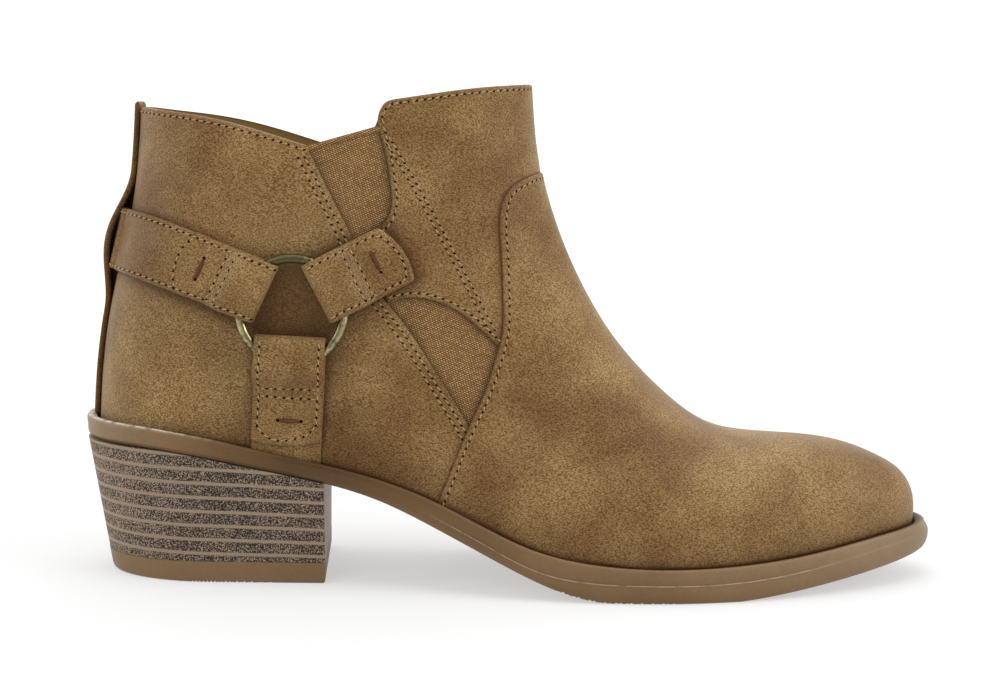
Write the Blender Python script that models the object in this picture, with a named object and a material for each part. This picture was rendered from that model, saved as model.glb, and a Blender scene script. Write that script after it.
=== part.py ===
"""Block heel boot for the right foot: a hollow last-shaped upper on a moulded sole with a stacked heel.

Sizes are in millimetres and are turned into metres when a mesh is made.
+X runs to the toe, -Y to the outer (lateral) side and +Z up; Z = 0 is the floor.
"""
import math
from collections import namedtuple

import bmesh
import bpy
import numpy as np
from mathutils import Matrix, Vector

MM = 0.001

# Driving sizes of the boot
LENGTH = 256.0
HEEL_END = -LENGTH / 2
TOE_END = LENGTH / 2
CENTRE_Y = 3.0
HEEL_ROUND = 34.0
COLLAR_ROUND = 46.0
TOE_ROUND = 88.0
BACK_POWER = 2.1
SWELL_FROM = 0.45

# Thicknesses and clearances
GAP = 0.3
SKIN = 1.0
WALL = 1.5
VAMP_RISE = 0.6
RAND = 4.0
CUP_DEPTH = 3.2
INSOLE_THICK = 2.4
INSOLE_ROOM = 2.2
STRAP_THICK = 1.2
STRAP_GAP = 0.9
RING_PLAY = 0.6
RING_LIFT = 0.9

# Heel sizes
LIFT_HEIGHT = 6.6
LIFT_BEVEL = 1.0
HEEL_BASE_BACK = -121.0
HEEL_BASE_HALF = 25.5
BREAST_LATERAL = -53.9
BREAST_MEDIAL = -56.6

# Harness: the ring, the straps that fold round it and the strip up the back
RING_X = -63.2
RING_Z = 81.1
RING_RADIUS = 15.05
RING_WIRE = 1.4
TURN_RADIUS = RING_WIRE + STRAP_THICK / 2 + RING_PLAY
LAYER_LOW = STRAP_GAP + STRAP_THICK / 2
LAYER_TOP = LAYER_LOW + STRAP_THICK + GAP
RING_LEVEL = LAYER_LOW + TURN_RADIUS + RING_LIFT
RING_FADE = 9.0
RING_PINCH = 1.4
STRAP_BACK_Z = 99.4
STRAP_SLOPE = 0.375
STRAP_LEVEL = 14.0
STRAP_TILT = math.radians(25)
STRAP_REACH = 64.0
STAY_HALF = 5.0
STAY_LOW = 48.2
STAY_HIGH = 140.4
STAY_OUT = 1.7
STAY_ARCH = 3.8
STAY_ARCH_Z = 99.4
STAY_ARCH_HALF = 20.0

# Straps folded round the ring: direction from its centre in the side view, middle and half of the width,
# place of the fold, end of the layer beneath, end of the layer on top and slant of the end beneath.
# The heel strap's top layer has no end: it runs on round the heel.
Tab = namedtuple("Tab", "angle middle half fold under top slant")
RING_TAB = Tab(27.5, 0.9, 9.3, 8.2, 30.0, 36.0, 0.0)
SOLE_TAB = Tab(-92.5, 0.0, 10.2, 7.2, 41.0, 39.0, 0.2)
HEEL_STRAP = Tab(160.0, 0.0, 9.1, 8.3, 34.0, None, 0.0)

# Sole in plan: half widths from the centre line before its ends are rounded off
Plan = namedtuple("Plan", "x lateral medial")
PLAN = [
    Plan(-128, 30.5, 29.5),
    Plan(-60, 32.5, 28.0),
    Plan(-25, 36.0, 24.0),
    Plan(0, 42.5, 27.0),
    Plan(33, 47.0, 38.5),
    Plan(60, 46.0, 41.5),
    Plan(95, 41.5, 41.0),
    Plan(128, 38.0, 40.0),
]

# Sole from the side: top of the rand, the step on its side and the underside
Height = namedtuple("Height", "x rim step under")
HEIGHTS = [
    Height(-128, 47.2, 43.5, 40.2),
    Height(-104, 46.2, 43.0, 40.0),
    Height(-75, 41.0, 38.0, 35.2),
    Height(-55, 36.8, 34.0, 31.3),
    Height(-38, 32.6, 29.2, 26.4),
    Height(-22, 27.0, 22.6, 19.3),
    Height(-7, 20.2, 15.4, 12.1),
    Height(8, 14.2, 8.6, 5.2),
    Height(20, 11.6, 6.2, 1.2),
    Height(40, 10.0, 5.4, -0.6),
    Height(62, 10.2, 5.6, -0.3),
    Height(88, 12.4, 8.2, 2.5),
    Height(110, 15.6, 12.0, 6.1),
    Height(128, 17.2, 14.4, 9.2),
]

# Side of the sole from the tread to the floor of its cup: inset in plan, cuts at the heel and toe ends,
# the level that it follows, the height above that level and the extra inset of the groove in the forefoot
CUP_INSET = RAND - VAMP_RISE - 2 * GAP
GROOVE_FROM = -20.0
GROOVE_FADE = 25.0
Edge = namedtuple("Edge", "inset heel toe level above groove")
SOLE_EDGES = [
    Edge(2.6, 4.0, 3.0, "under", 0.0, 0.0),
    Edge(0.9, 1.6, 0.9, "under", 0.5, 0.0),
    Edge(0.2, 0.2, 0.0, "step", -0.5, 0.0),
    Edge(0.3, 0.2, 0.7, "step", 0.0, 0.3),
    Edge(0.5, 0.0, 1.4, "rim", -1.2, 0.0),
    Edge(1.1, 0.7, 2.4, "rim", 0.0, 0.0),
    Edge(CUP_INSET - 0.6, 2.9, 4.2, "rim", 0.0, 0.0),
    Edge(CUP_INSET, 3.1, 4.6, "rim", -CUP_DEPTH, 0.0),
]

# Sections of the last: each runs from the ridge on top to the feather edge on the sole.
# Crown is the length over which it rounds off at the ridge, and swell its half width above the feather edge.
Foot = namedtuple("Foot", "ridge_x ridge_z base_x crown square lateral_swell medial_swell")
FOOT = [
    Foot(122.2, 15.0, 122.2, 1.1, 2.1, 1.0, 1.0),
    Foot(122.5, 20.0, 120.9, 6.4, 2.1, 1.0, 1.0),
    Foot(122.0, 25.0, 118.2, 12.1, 2.15, 1.0, 1.0),
    Foot(119.2, 30.2, 113.5, 18.1, 2.2, 1.0, 1.0),
    Foot(114.0, 34.0, 106.0, 23.3, 2.25, 1.0, 1.0),
    Foot(105.5, 37.7, 96.0, 28.7, 2.3, 1.0, 1.0),
    Foot(92.0, 40.6, 80.0, 34.2, 2.3, 1.0, 1.0),
    Foot(75.0, 41.7, 62.0, 36.8, 2.2, 1.0, 1.0),
    Foot(60.0, 44.6, 46.0, 40.1, 2.1, 1.0, 1.0),
    Foot(47.0, 53.4, 30.0, 48.9, 2.0, 1.0, 1.02),
    Foot(34.0, 66.6, 12.0, 60.5, 1.95, 0.96, 1.1),
    Foot(24.2, 80.6, -10.0, 71.0, 1.9, 0.91, 1.24),
    Foot(16.8, 95.0, -36.0, 76.0, 1.9, 0.92, 1.22),
    Foot(11.4, 109.0, -68.0, 77.0, 1.95, 0.965, 1.1),
    Foot(8.4, 120.0, -100.0, 76.5, 2.0, 0.99, 1.025),
    Foot(7.9, 123.0, -114.0, 76.0, 2.0, 0.998, 1.006),
    Foot(7.6, 124.8, -121.5, 75.4, 2.0, 1.0, 1.0),
]

# Sections of the shaft: each closes round the back of the heel
Shaft = namedtuple("Shaft", "ridge_x ridge_z base_x base_z lateral medial crown square")
SHAFT = [
    Shaft(7.4, 126.0, -124.2, 44.6, 26.6, 25.4, 74.8, 2.0),
    Shaft(6.7, 131.0, -123.2, 61.0, 26.9, 26.0, 71.5, 2.0),
    Shaft(6.2, 136.0, -119.4, 85.5, 27.3, 26.9, 67.0, 2.0),
    Shaft(5.8, 141.0, -113.8, 110.0, 27.4, 27.4, 62.0, 2.0),
    Shaft(5.4, 147.5, -110.9, 142.0, 27.0, 27.0, 58.0, 2.0),
]

# Seams and edges of the leather seen from the side, as x and z
VAMP_SEAM = [
    (24.0, 122.0), (8.4, 120.6), (2.6, 118.5), (-1.8, 115.0), (-3.7, 109.0), (-3.4, 98.4), (-2.6, 84.0),
    (-2.8, 74.0), (-4.5, 66.8), (-7.8, 56.8), (-12.3, 47.0), (-16.8, 35.8), (-20.4, 26.9), (-25.0, 15.0),
]
QUARTER_EDGE = [
    (-59.4, 128.3), (-52.4, 114.3), (-46.1, 101.4), (-40.4, 89.0), (-32.3, 78.6), (-20.6, 61.0),
    (-12.0, 47.6),
]
GORE_FRONT = [(-38.6, 134.0), (-36.5, 125.8), (-35.1, 117.3), (-34.8, 111.5), (-36.7, 106.6), (-41.0, 103.0)]
EAR_LOWER = [(-36.0, 83.4), (-30.0, 84.7), (-20.8, 83.3), (-12.1, 78.3), (-6.3, 73.0), (-3.6, 70.4)]
COLLAR_BACK = [(-140.0, 141.5), (-108.0, 138.5), (-90.0, 136.3), (-75.4, 133.1), (-59.4, 128.3)]
COLLAR_FRONT = [(-38.6, 137.6), (-36.9, 140.6), (-32.6, 142.0), (-18.5, 144.2), (-4.1, 145.9), (24.0, 148.0)]
GORE_TOP = [(-59.0, 127.9), (-38.8, 133.6)]

LEATHER = (0.31, 0.17, 0.07)
GORE = (0.36, 0.19, 0.07)
SOLE_BROWN = (0.18, 0.11, 0.055)
STACK_BROWN = (0.12, 0.085, 0.055)
LINING = (0.42, 0.30, 0.18)
BRASS = (0.28, 0.23, 0.12)


def spline(knots, values, at, still_start=False, still_end=False):
    """Cubic curve through the values with smooth curvature, level at an end that is asked to be still."""
    knots = np.asarray(knots, float)
    values = np.asarray(values, float)
    at = np.clip(np.asarray(at, float), knots[0], knots[-1])
    step = np.diff(knots)
    rise = np.diff(values) / step
    count = len(knots)
    system = np.zeros((count, count))
    right = np.zeros(count)
    system[0, :2] = (1, 0) if still_start else (2, 1)
    system[-1, -2:] = (0, 1) if still_end else (1, 2)
    right[0] = 0 if still_start else 3 * rise[0]
    right[-1] = 0 if still_end else 3 * rise[-1]
    for i in range(1, count - 1):
        before, after = 1 / step[i - 1], 1 / step[i]
        system[i, i - 1:i + 2] = before, 2 * (before + after), after
        right[i] = 3 * (rise[i - 1] * before + rise[i] * after)
    slope = np.linalg.solve(system, right)
    j = np.clip(np.searchsorted(knots, at) - 1, 0, count - 2)
    t = (at - knots[j]) / step[j]
    ends = (2 * t**3 - 3 * t**2 + 1) * values[j] + (3 * t**2 - 2 * t**3) * values[j + 1]
    return ends + step[j] * ((t**3 - 2 * t**2 + t) * slope[j] + (t**3 - t**2) * slope[j + 1])


def column(rows, name):
    """One named column of a table."""
    return np.array([getattr(row, name) for row in rows], float)


def height(name, x):
    """Height of the rim, step or underside of the sole; the forefoot lies flat on the floor."""
    z = spline(column(HEIGHTS, "x"), column(HEIGHTS, name), x)
    return np.maximum(z, 0.0) if name == "under" else z


def seat(x):
    """Height of the feather edge, just above the floor of the cup in the sole."""
    return cup_floor(x) + 2 * GAP


def cup_floor(x):
    """Height of the floor of the cup in the sole."""
    return height("rim", x) - CUP_DEPTH


def eased(share):
    """Smooth step from 0 to 1, level at both ends."""
    share = np.clip(share, 0.0, 1.0)
    return share * share * (3 - 2 * share)


def rounded(share, power):
    """Quarter of a superellipse: 0 at share 0, 1 from share 1 on."""
    share = np.clip(share, 0.0, 1.0)
    return (1 - (1 - share) ** power) ** (1 / power)


def envelope(side, x):
    """Half width of the sole before its heel end is rounded off; side is 'lateral' or 'medial'."""
    return spline(column(PLAN, "x"), column(PLAN, side), x)


def outline(side, x, inset=0.0, heel=HEEL_END, toe=TOE_END):
    """Half width of an outline in plan, rounded at the heel and toe ends."""
    heel_share = (x - heel) / HEEL_ROUND
    toe_share = (toe - x) / TOE_ROUND
    return (envelope(side, x) - inset) * rounded(heel_share, BACK_POWER) * rounded(toe_share, 2.0)


def section_knots():
    """Distance along the row of sections, midway between ridge and feather edge."""
    rows = FOOT + SHAFT
    ridge = np.stack([column(rows, "ridge_x"), column(rows, "ridge_z")], -1)
    base_z = np.concatenate([seat(column(FOOT, "base_x")), column(SHAFT, "base_z")])
    base = np.stack([column(rows, "base_x"), base_z], -1)
    steps = np.linalg.norm(np.diff(ridge, axis=0), axis=1) + np.linalg.norm(np.diff(base, axis=0), axis=1)
    return np.concatenate([[0.0], np.cumsum(steps) / 2])


KNOTS = section_knots()
# Row of the first section that closes round the heel, and the row from which the points draw together for it
CORNER = len(FOOT)
CLOSING = CORNER - 7


def along(rows_index):
    """Distance along the sections at a row number, which may lie between two rows."""
    return np.interp(rows_index, np.arange(len(KNOTS)), KNOTS)


def section_at(s):
    """Ridge and base points, crown share and squareness of the section at distance s.

    The base runs along the sole to the heel corner and then up the back line.
    """
    rows = FOOT + SHAFT
    ridge_x = spline(KNOTS, column(rows, "ridge_x"), s)
    ridge_z = spline(KNOTS, column(rows, "ridge_z"), s)
    foot_x = spline(KNOTS[:CORNER + 1], column(rows[:CORNER + 1], "base_x"), s, still_end=True)
    foot_x = np.maximum(foot_x, SHAFT[0].base_x)
    back_z = spline(KNOTS[CORNER:], column(SHAFT, "base_z"), s, still_start=True)
    on_foot = s < KNOTS[CORNER]
    base_x = np.where(on_foot, foot_x, back_x(back_z))
    base_z = np.where(on_foot, seat(foot_x), back_z)
    reach = np.hypot(base_x - ridge_x, base_z - ridge_z)
    crown = np.minimum(spline(KNOTS, column(rows, "crown"), s), reach) / np.maximum(reach, GAP)
    square = spline(KNOTS, column(rows, "square"), s)
    return ridge_x, ridge_z, base_x, base_z, crown, square


def half_width(side, s, share):
    """Half width of the last on a section before rounding: that of the feather edge, swelling above it."""
    foot_x = column(FOOT, "base_x")
    toe_share = (FOOT[0].base_x - foot_x) / TOE_ROUND
    foot = (envelope(side, foot_x) - RAND) * rounded(toe_share, 2.0)
    edge = spline(KNOTS, np.concatenate([foot, column(SHAFT, side)]), s)
    swell = np.concatenate([column(FOOT, side + "_swell"), np.ones(len(SHAFT))])
    body = edge * spline(KNOTS, swell, s)
    return body + (edge - body) * eased((share - SWELL_FROM) / (1 - SWELL_FROM))


def back_x(z):
    """Line of the back of the heel and shaft."""
    return spline(column(SHAFT, "base_z"), column(SHAFT, "base_x"), z)


def back_share(x, z):
    """How far a point is from the back line, as a share of the rounding there."""
    low, high = SHAFT[0].base_z, SHAFT[-1].base_z
    reach = np.interp(z, [low, high], [HEEL_ROUND, COLLAR_ROUND])
    return (x - back_x(z)) / reach


def last_point(s, w):
    """Point on the outer leather: w runs from -1 (lateral base) over the ridge at 0 to +1 (medial base)."""
    ridge_x, ridge_z, base_x, base_z, crown, square = section_at(s)
    turn = np.abs(w)
    closed = np.clip((s - KNOTS[CLOSING]) / (KNOTS[CORNER] - KNOTS[CLOSING]), 0, 1)
    share = (1 - closed) * (1 - np.cos(turn * math.pi / 2)) + closed * (1 - np.cos(turn * math.pi)) / 2
    x = ridge_x + share * (base_x - ridge_x)
    z = ridge_z + share * (base_z - ridge_z)
    half = np.where(w < 0, half_width("lateral", s, share), half_width("medial", s, share))
    y = half * rounded(share / crown, square) * rounded(back_share(x, z), BACK_POWER)
    return np.stack([x, CENTRE_Y + np.sign(w) * y, z], -1)


def side_y(x, z, side):
    """Y of the outer leather where a line across the boot at x, z meets one side."""
    x, z = np.broadcast_arrays(np.asarray(x, float), np.asarray(z, float))
    low = np.full(x.shape, KNOTS[0])
    high = np.full(x.shape, KNOTS[-1])
    for _ in range(40):
        middle = (low + high) / 2
        ridge_x, ridge_z, base_x, base_z, _, _ = section_at(middle)
        turn = (base_x - ridge_x) * (z - ridge_z) - (base_z - ridge_z) * (x - ridge_x)
        low, high = np.where(turn < 0, middle, low), np.where(turn < 0, high, middle)
    ridge_x, ridge_z, base_x, base_z, crown, square = section_at(low)
    run = (x - ridge_x) * (base_x - ridge_x) + (z - ridge_z) * (base_z - ridge_z)
    share = run / ((base_x - ridge_x) ** 2 + (base_z - ridge_z) ** 2)
    half = half_width(side, low, share) * rounded(share / crown, square)
    half = half * rounded(back_share(x, z), BACK_POWER)
    return CENTRE_Y + (-half if side == "lateral" else half)


def last_grid(offset, rows, columns):
    """Grid of points at a distance outside the outer leather, with each point moved along its normal."""
    row = along(np.linspace(0, len(KNOTS) - 1, rows))
    turn = np.linspace(-1, 1, columns)
    s, w = np.meshgrid(row, turn, indexing="ij")
    points = last_point(s, w)
    small = 1e-3
    inner_s = np.clip(s, KNOTS[0] + 0.4, KNOTS[-1] - small)
    inner_w = np.clip(w, -1 + small, 1 - small)
    along_s = last_point(inner_s + small, inner_w) - last_point(inner_s - small, inner_w)
    along_w = last_point(inner_s, inner_w + small) - last_point(inner_s, inner_w - small)
    normal = np.cross(along_w, along_s)
    normal /= np.linalg.norm(normal, axis=-1, keepdims=True)
    closed = s[:, 0] >= KNOTS[CORNER] - small
    for end in (0, -1):
        normal[closed, end, 1] = 0.0
    normal[0] = (1.0, 0.0, 0.0)
    normal /= np.linalg.norm(normal, axis=-1, keepdims=True)
    return points + offset * normal, closed


def material(name, colour, roughness, metallic=0.0):
    """Plain Principled material of one piece."""
    made = bpy.data.materials.new(name)
    made.use_nodes = True
    shader = made.node_tree.nodes["Principled BSDF"]
    shader.inputs["Base Color"].default_value = (*colour, 1.0)
    shader.inputs["Roughness"].default_value = roughness
    shader.inputs["Metallic"].default_value = metallic
    return made


def add_object(name, points, faces, collection, finish=None):
    """Object from points in millimetres, with its faces turned outwards and shaded smooth."""
    mesh = bpy.data.meshes.new(name)
    mesh.from_pydata((np.asarray(points) * MM).tolist(), [], [list(map(int, face)) for face in faces])
    work = bmesh.new()
    work.from_mesh(mesh)
    bmesh.ops.recalc_face_normals(work, faces=work.faces)
    if work.calc_volume(signed=True) < 0:
        bmesh.ops.reverse_faces(work, faces=work.faces)
    work.to_mesh(mesh)
    work.free()
    mesh.shade_smooth()
    mesh.set_sharp_from_angle(angle=math.radians(35))
    made = bpy.data.objects.new(name, mesh)
    collection.objects.link(made)
    if finish is not None:
        mesh.materials.append(finish)
    return made


def grid_faces(ids, round_rows=False, points=None):
    """Faces between the rows of a grid of point numbers, without the repeats at poles and closed seams.

    Where the points are given, each quad is split along its shorter diagonal.
    """
    faces = []
    next_ids = np.roll(ids, -1, axis=1) if round_rows else ids[:, 1:]
    first = ids if round_rows else ids[:, :-1]
    for a, b, c, d in zip(first[:-1].ravel(), next_ids[:-1].ravel(), next_ids[1:].ravel(), first[1:].ravel()):
        halves = ((a, b, c), (a, c, d))
        if points is not None and math.dist(points[b], points[d]) < math.dist(points[a], points[c]):
            halves = ((a, b, d), (b, c, d))
        for face in halves:
            if len(set(face)) == 3:
                faces.append(list(face))
    return faces


def last_wall(name, outer, inner, collection, finish, rows=28, columns=23):
    """Hollow wall between two distances from the outer leather, open at the collar and underneath."""
    outside, closed = last_grid(outer, rows, columns)
    inside, _ = last_grid(inner, rows, columns)
    ids = np.arange(rows * columns).reshape(rows, columns)
    ids[0] = ids[0, 0]
    ids[closed, -1] = ids[closed, 0]
    shift = rows * columns
    faces = grid_faces(ids, points=outside.reshape(-1, 3))
    edges = {}
    for face in faces:
        for a, b in zip(face, face[1:] + face[:1]):
            edges[frozenset((a, b))] = None if frozenset((a, b)) in edges else (a, b)
    rim = [(a, b, b + shift, a + shift) for pair in edges.values() if pair for a, b in [pair]]
    faces += [[v + shift for v in reversed(face)] for face in faces] + rim
    points = np.concatenate([outside.reshape(-1, 3), inside.reshape(-1, 3)])
    used = np.unique(np.concatenate([np.ravel(face) for face in faces]))
    numbers = dict(zip(used.tolist(), range(len(used))))
    faces = [[numbers[int(v)] for v in face] for face in faces]
    return add_object(name, points[used], faces, collection, finish)


def smooth_line(points, steps=3):
    """Smooth run through a few hand-set points, as an open line."""
    points = np.array(points, float)
    knots = np.concatenate([[0], np.cumsum(np.linalg.norm(np.diff(points, axis=0), axis=1))])
    at = np.interp(np.linspace(0, len(knots) - 1, steps * (len(knots) - 1) + 1), np.arange(len(knots)), knots)
    line = np.stack([spline(knots, points[:, 0], at), spline(knots, points[:, 1], at)], -1)
    return [tuple(point) for point in line.tolist()]


def shifted(points, dx, dz=0.0):
    """Line moved sideways, to leave a gap along a seam."""
    return [(x + dx, z + dz) for x, z in points]


def prism(name, profile, y_low, y_high, collection):
    """Outline in the side view carried across the boot from y_low to y_high."""
    count = len(profile)
    points = [(x, y, z) for y in (y_low, y_high) for x, z in profile]
    faces = [list(range(count)), list(range(2 * count - 1, count - 1, -1))]
    faces += [(i, (i + 1) % count, (i + 1) % count + count, i + count) for i in range(count)]
    made = add_object(name, points, faces, collection)
    made.hide_render = True
    made.display_type = "WIRE"
    return made


def combine(target, cutter, operation):
    """Boolean of one object with a cutter, left on it as a modifier."""
    step = target.modifiers.new(cutter.name, "BOOLEAN")
    step.object = cutter
    step.operation = operation
    step.solver = "EXACT"


def stations(heel, toe, count):
    """Places along the sole, closer together at its two round ends."""
    return heel + (toe - heel) * (1 - np.cos(np.linspace(0, math.pi, count))) / 2


def sole_ring(edge, count):
    """Closed ring round the sole: lateral side from heel to toe, then the medial side back."""
    heel, toe = HEEL_END + edge.heel, TOE_END - edge.toe
    x = stations(heel, toe, count)
    z = height(edge.level, x) + edge.above
    inset = edge.inset + edge.groove * eased((x - GROOVE_FROM) / GROOVE_FADE)
    lateral = np.stack([x, CENTRE_Y - outline("lateral", x, inset, heel, toe), z], -1)
    medial = np.stack([x, CENTRE_Y + outline("medial", x, inset, heel, toe), z], -1)
    return np.concatenate([lateral, medial[-2:0:-1]])


def ladder(ids, count):
    """Faces across a ring, from each lateral point to the medial point at the same station."""
    lateral = ids[:count]
    medial = np.concatenate([ids[:1], ids[:count - 1:-1], ids[count - 1:count]])
    return grid_faces(np.stack([lateral, medial], 1))


def ring_solid(name, rings, count, collection, finish):
    """Solid through a row of like rings, closed by a ladder of faces at both ends."""
    ids = np.arange(len(rings) * len(rings[0])).reshape(len(rings), -1)
    faces = grid_faces(ids, round_rows=True) + ladder(ids[0], count) + ladder(ids[-1], count)
    return add_object(name, np.concatenate(rings), faces, collection, finish)


def make_outsole(collection):
    """Moulded sole: flat forefoot, toe spring, arch, stepped side and the cup that takes the upper."""
    count = 31
    rings = [sole_ring(edge, count) for edge in SOLE_EDGES]
    return ring_solid("outsole", rings, count, collection, material("sole_brown", SOLE_BROWN, 0.6))


def make_insole(collection):
    """Sock board on the floor of the cup, inside the wall of the upper."""
    count = 27
    inset = RAND + SKIN + GAP + WALL + INSOLE_ROOM
    heel_cut = SHAFT[0].base_x - HEEL_END + inset - RAND + GAP
    toe_cut = TOE_END - FOOT[0].base_x + inset - RAND
    seat_level = 2 * GAP - CUP_DEPTH
    levels = (seat_level, seat_level + INSOLE_THICK)
    rings = [sole_ring(Edge(inset, heel_cut, toe_cut, "rim", above, 0.0), count) for above in levels]
    return ring_solid("insole", rings, count, collection, material("sock_lining", LINING, 0.9))


def heel_ring(drop, level, inset=0.0):
    """Ring of the heel at a share of its drop: round at the back and straight across the breast."""
    count = 15
    back = HEEL_END + 0.3 + drop * (HEEL_BASE_BACK - HEEL_END) + inset
    turn = np.linspace(0, 1, count)
    points = []
    for sign, side, breast in ((-1, "lateral", BREAST_LATERAL), (1, "medial", BREAST_MEDIAL)):
        x = back + (breast - inset - back) * turn ** 2
        top = outline(side, x, 0.6, back)
        base = HEEL_BASE_HALF * rounded((x - back) / HEEL_ROUND, BACK_POWER)
        y = CENTRE_Y + sign * ((1 - drop) * top + drop * base - inset * np.sqrt(turn))
        points.append(np.stack([x, y, level(x)], -1))
    lateral, medial = points
    return np.concatenate([lateral[::-1], medial[1:]])


def heel_solid(name, rings, collection, finish):
    """Solid through heel rings, closed by ladders above and below."""
    around = len(rings[0])
    half = around // 2 + 1
    ids = np.arange(len(rings) * around).reshape(len(rings), -1)
    faces = grid_faces(ids, round_rows=True)
    for ring in (ids[0], ids[-1]):
        lateral = ring[half - 1::-1]
        medial = ring[half - 1:]
        faces += grid_faces(np.stack([lateral, medial], 1))
    return add_object(name, np.concatenate(rings), faces, collection, finish)


def make_heel(collection):
    """Block of the heel and the plain lift that it walks on."""
    seat_height = height("under", HEEL_END + HEEL_ROUND)
    lift_share = 1 - LIFT_HEIGHT / seat_height
    block = [heel_ring(lift_share * f, lambda x, f=f: level_between(x, f)) for f in (0.0, 0.5, 1.0)]
    heel_solid("heel_block", block, collection, material("stacked_heel", STACK_BROWN, 0.7))
    lift = [
        heel_ring(lift_share, lambda x: 0 * x + LIFT_HEIGHT),
        heel_ring(1 - LIFT_BEVEL / seat_height, lambda x: 0 * x + LIFT_BEVEL),
        heel_ring(1.0, lambda x: 0 * x, inset=LIFT_BEVEL),
    ]
    heel_solid("heel_lift", lift, collection, material("lift_brown", SOLE_BROWN, 0.6))


def level_between(x, share):
    """Height at a share of the way down the block, from the seat to the top of the lift."""
    top = height("under", x) - GAP
    return top + share * (LIFT_HEIGHT + GAP - top)


def make_upper(parts, cutters):
    """Hollow wall of the boot with the gores in it, cut to the collar's line."""
    upper = last_wall("upper", -SKIN - GAP, -SKIN - GAP - WALL, parts, material("gore_elastic", GORE, 0.85))
    line = smooth_line(COLLAR_BACK) + GORE_TOP + smooth_line(COLLAR_FRONT)
    above = prism("collar_cutter", line + [(24.0, 190.0), (-140.0, 190.0)], -90, 90, cutters)
    combine(upper, above, "DIFFERENCE")


def between(points, low, high):
    """Stretch of a line whose height lies between two values."""
    return [(x, z) for x, z in points if low <= z <= high]


def make_leather(parts, cutters):
    """Vamp, shaft front and the two quarters: stretches of leather cut from one form over the upper."""
    leather = material("tan_leather", LEATHER, 0.75)
    seam = smooth_line(VAMP_SEAM)
    edge = smooth_line(QUARTER_EDGE)
    ear_top, ear_bottom = GORE_FRONT[-1][1], EAR_LOWER[0][1]
    edge_foot, edge_head = QUARTER_EDGE[-1][1], VAMP_SEAM[0][1]
    vamp = shifted(seam, GAP / 2) + [(-25.0, -10.0), (140.0, -10.0), (140.0, edge_head)]
    panel = smooth_line(COLLAR_FRONT)[::-1] + smooth_line(GORE_FRONT)
    panel += shifted(between(edge, ear_bottom + 0.5, ear_top - 0.5), GAP) + smooth_line(EAR_LOWER)
    panel += shifted(between(seam, EAR_LOWER[-1][1], edge_head), -GAP / 2)[::-1]
    quarter = smooth_line(COLLAR_BACK) + edge[1:]
    quarter += shifted(between(seam, 0.0, edge_foot - 0.5), -GAP / 2) + [(-25.0, -10.0), (-140.0, -10.0)]
    cuts = [
        ("vamp", vamp, -90, 90, VAMP_RISE),
        ("front_panel", panel, -90, 90, 0.0),
        ("quarter_lateral", quarter, -90, CENTRE_Y - GAP / 2, 0.0),
        ("quarter_medial", quarter, CENTRE_Y + GAP / 2, 90, 0.0),
    ]
    for name, profile, y_low, y_high, rise in cuts:
        piece = last_wall(name, rise, -SKIN, parts, leather)
        combine(piece, prism(name + "_cutter", profile, y_low, y_high, cutters), "INTERSECT")


def side_place(side, x, z):
    """Points of one side of the outer leather at the given x and z."""
    return np.stack([x, side_y(x, z, side), z], -1)


def ring_frame(side):
    """Centre, outward axis and radius of a ring: a flat circle over three places on the side of the boot."""
    held = []
    for tab in (RING_TAB, SOLE_TAB, HEEL_STRAP):
        angle = math.radians(tab.angle)
        x, z = RING_X + RING_RADIUS * math.cos(angle), RING_Z + RING_RADIUS * math.sin(angle)
        held.append(Vector(side_place(side, x, z)))
    first, second = held[1] - held[0], held[2] - held[0]
    axis = first.cross(second).normalized()
    lift = first.length_squared * second.cross(axis) + second.length_squared * axis.cross(first)
    offset = lift / (2 * first.cross(second).length)
    outside = axis if (axis.y < 0) == (side == "lateral") else -axis
    return held[0] + offset + outside * RING_LEVEL, outside, offset.length


def strap_y(x, z, side):
    """Y that the straps lie on: the outer leather, level with the ring's plane close to the ring."""
    centre, axis, radius = RINGS[side]
    foot = centre - axis * (LAYER_LOW + TURN_RADIUS)
    plane = foot.y - (axis.x * (x - foot.x) + axis.z * (z - foot.z)) / axis.y
    away = eased((np.hypot(x - RING_X, z - RING_Z) - radius - 2 * RING_WIRE) / RING_FADE)
    return plane + away * (side_y(x, z, side) - plane)


def tab_place(tab, side):
    """Map from the length and width of a ring strap to the side of the boot."""
    angle = math.radians(tab.angle)

    def place(length, across):
        across = across + tab.middle
        x = RING_X + length * math.cos(angle) - across * math.sin(angle)
        z = RING_Z + length * math.sin(angle) + across * math.cos(angle)
        return np.stack([x, strap_y(x, z, side), z], -1)
    return place


def heel_strap_place(turn, across):
    """Map from the turn round the heel (-1 lateral to +1 medial) and the width of the harness strap."""
    run = STRAP_REACH * (1 - np.cos(turn * math.pi / 2))
    middle = STRAP_BACK_Z - STRAP_SLOPE * (np.hypot(run, STRAP_LEVEL) - STRAP_LEVEL)
    aside = np.minimum(run / (STRAP_REACH / 2), 1.0)
    z = middle + across * np.cos(aside * STRAP_TILT)
    x = back_x(z) + aside * (back_x(middle) - back_x(z)) + run + across * np.sin(aside * STRAP_TILT)
    x = np.maximum(x, back_x(z))
    y = np.where(turn < 0, strap_y(x, z, "lateral"), strap_y(x, z, "medial"))
    return np.stack([x, y, z], -1)


def backstay_place(z, across):
    """Map from height and width of the strip to the back of the heel."""
    low, high = SHAFT[0].base_z, SHAFT[-1].base_z
    reach = np.interp(z, [low, high], [HEEL_ROUND, COLLAR_ROUND])
    half = np.abs(across) / SHAFT[2].lateral
    x = back_x(z) + reach * (1 - (1 - half ** BACK_POWER) ** (1 / BACK_POWER))
    return np.stack([x, CENTRE_Y + across, z], -1)


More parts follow.
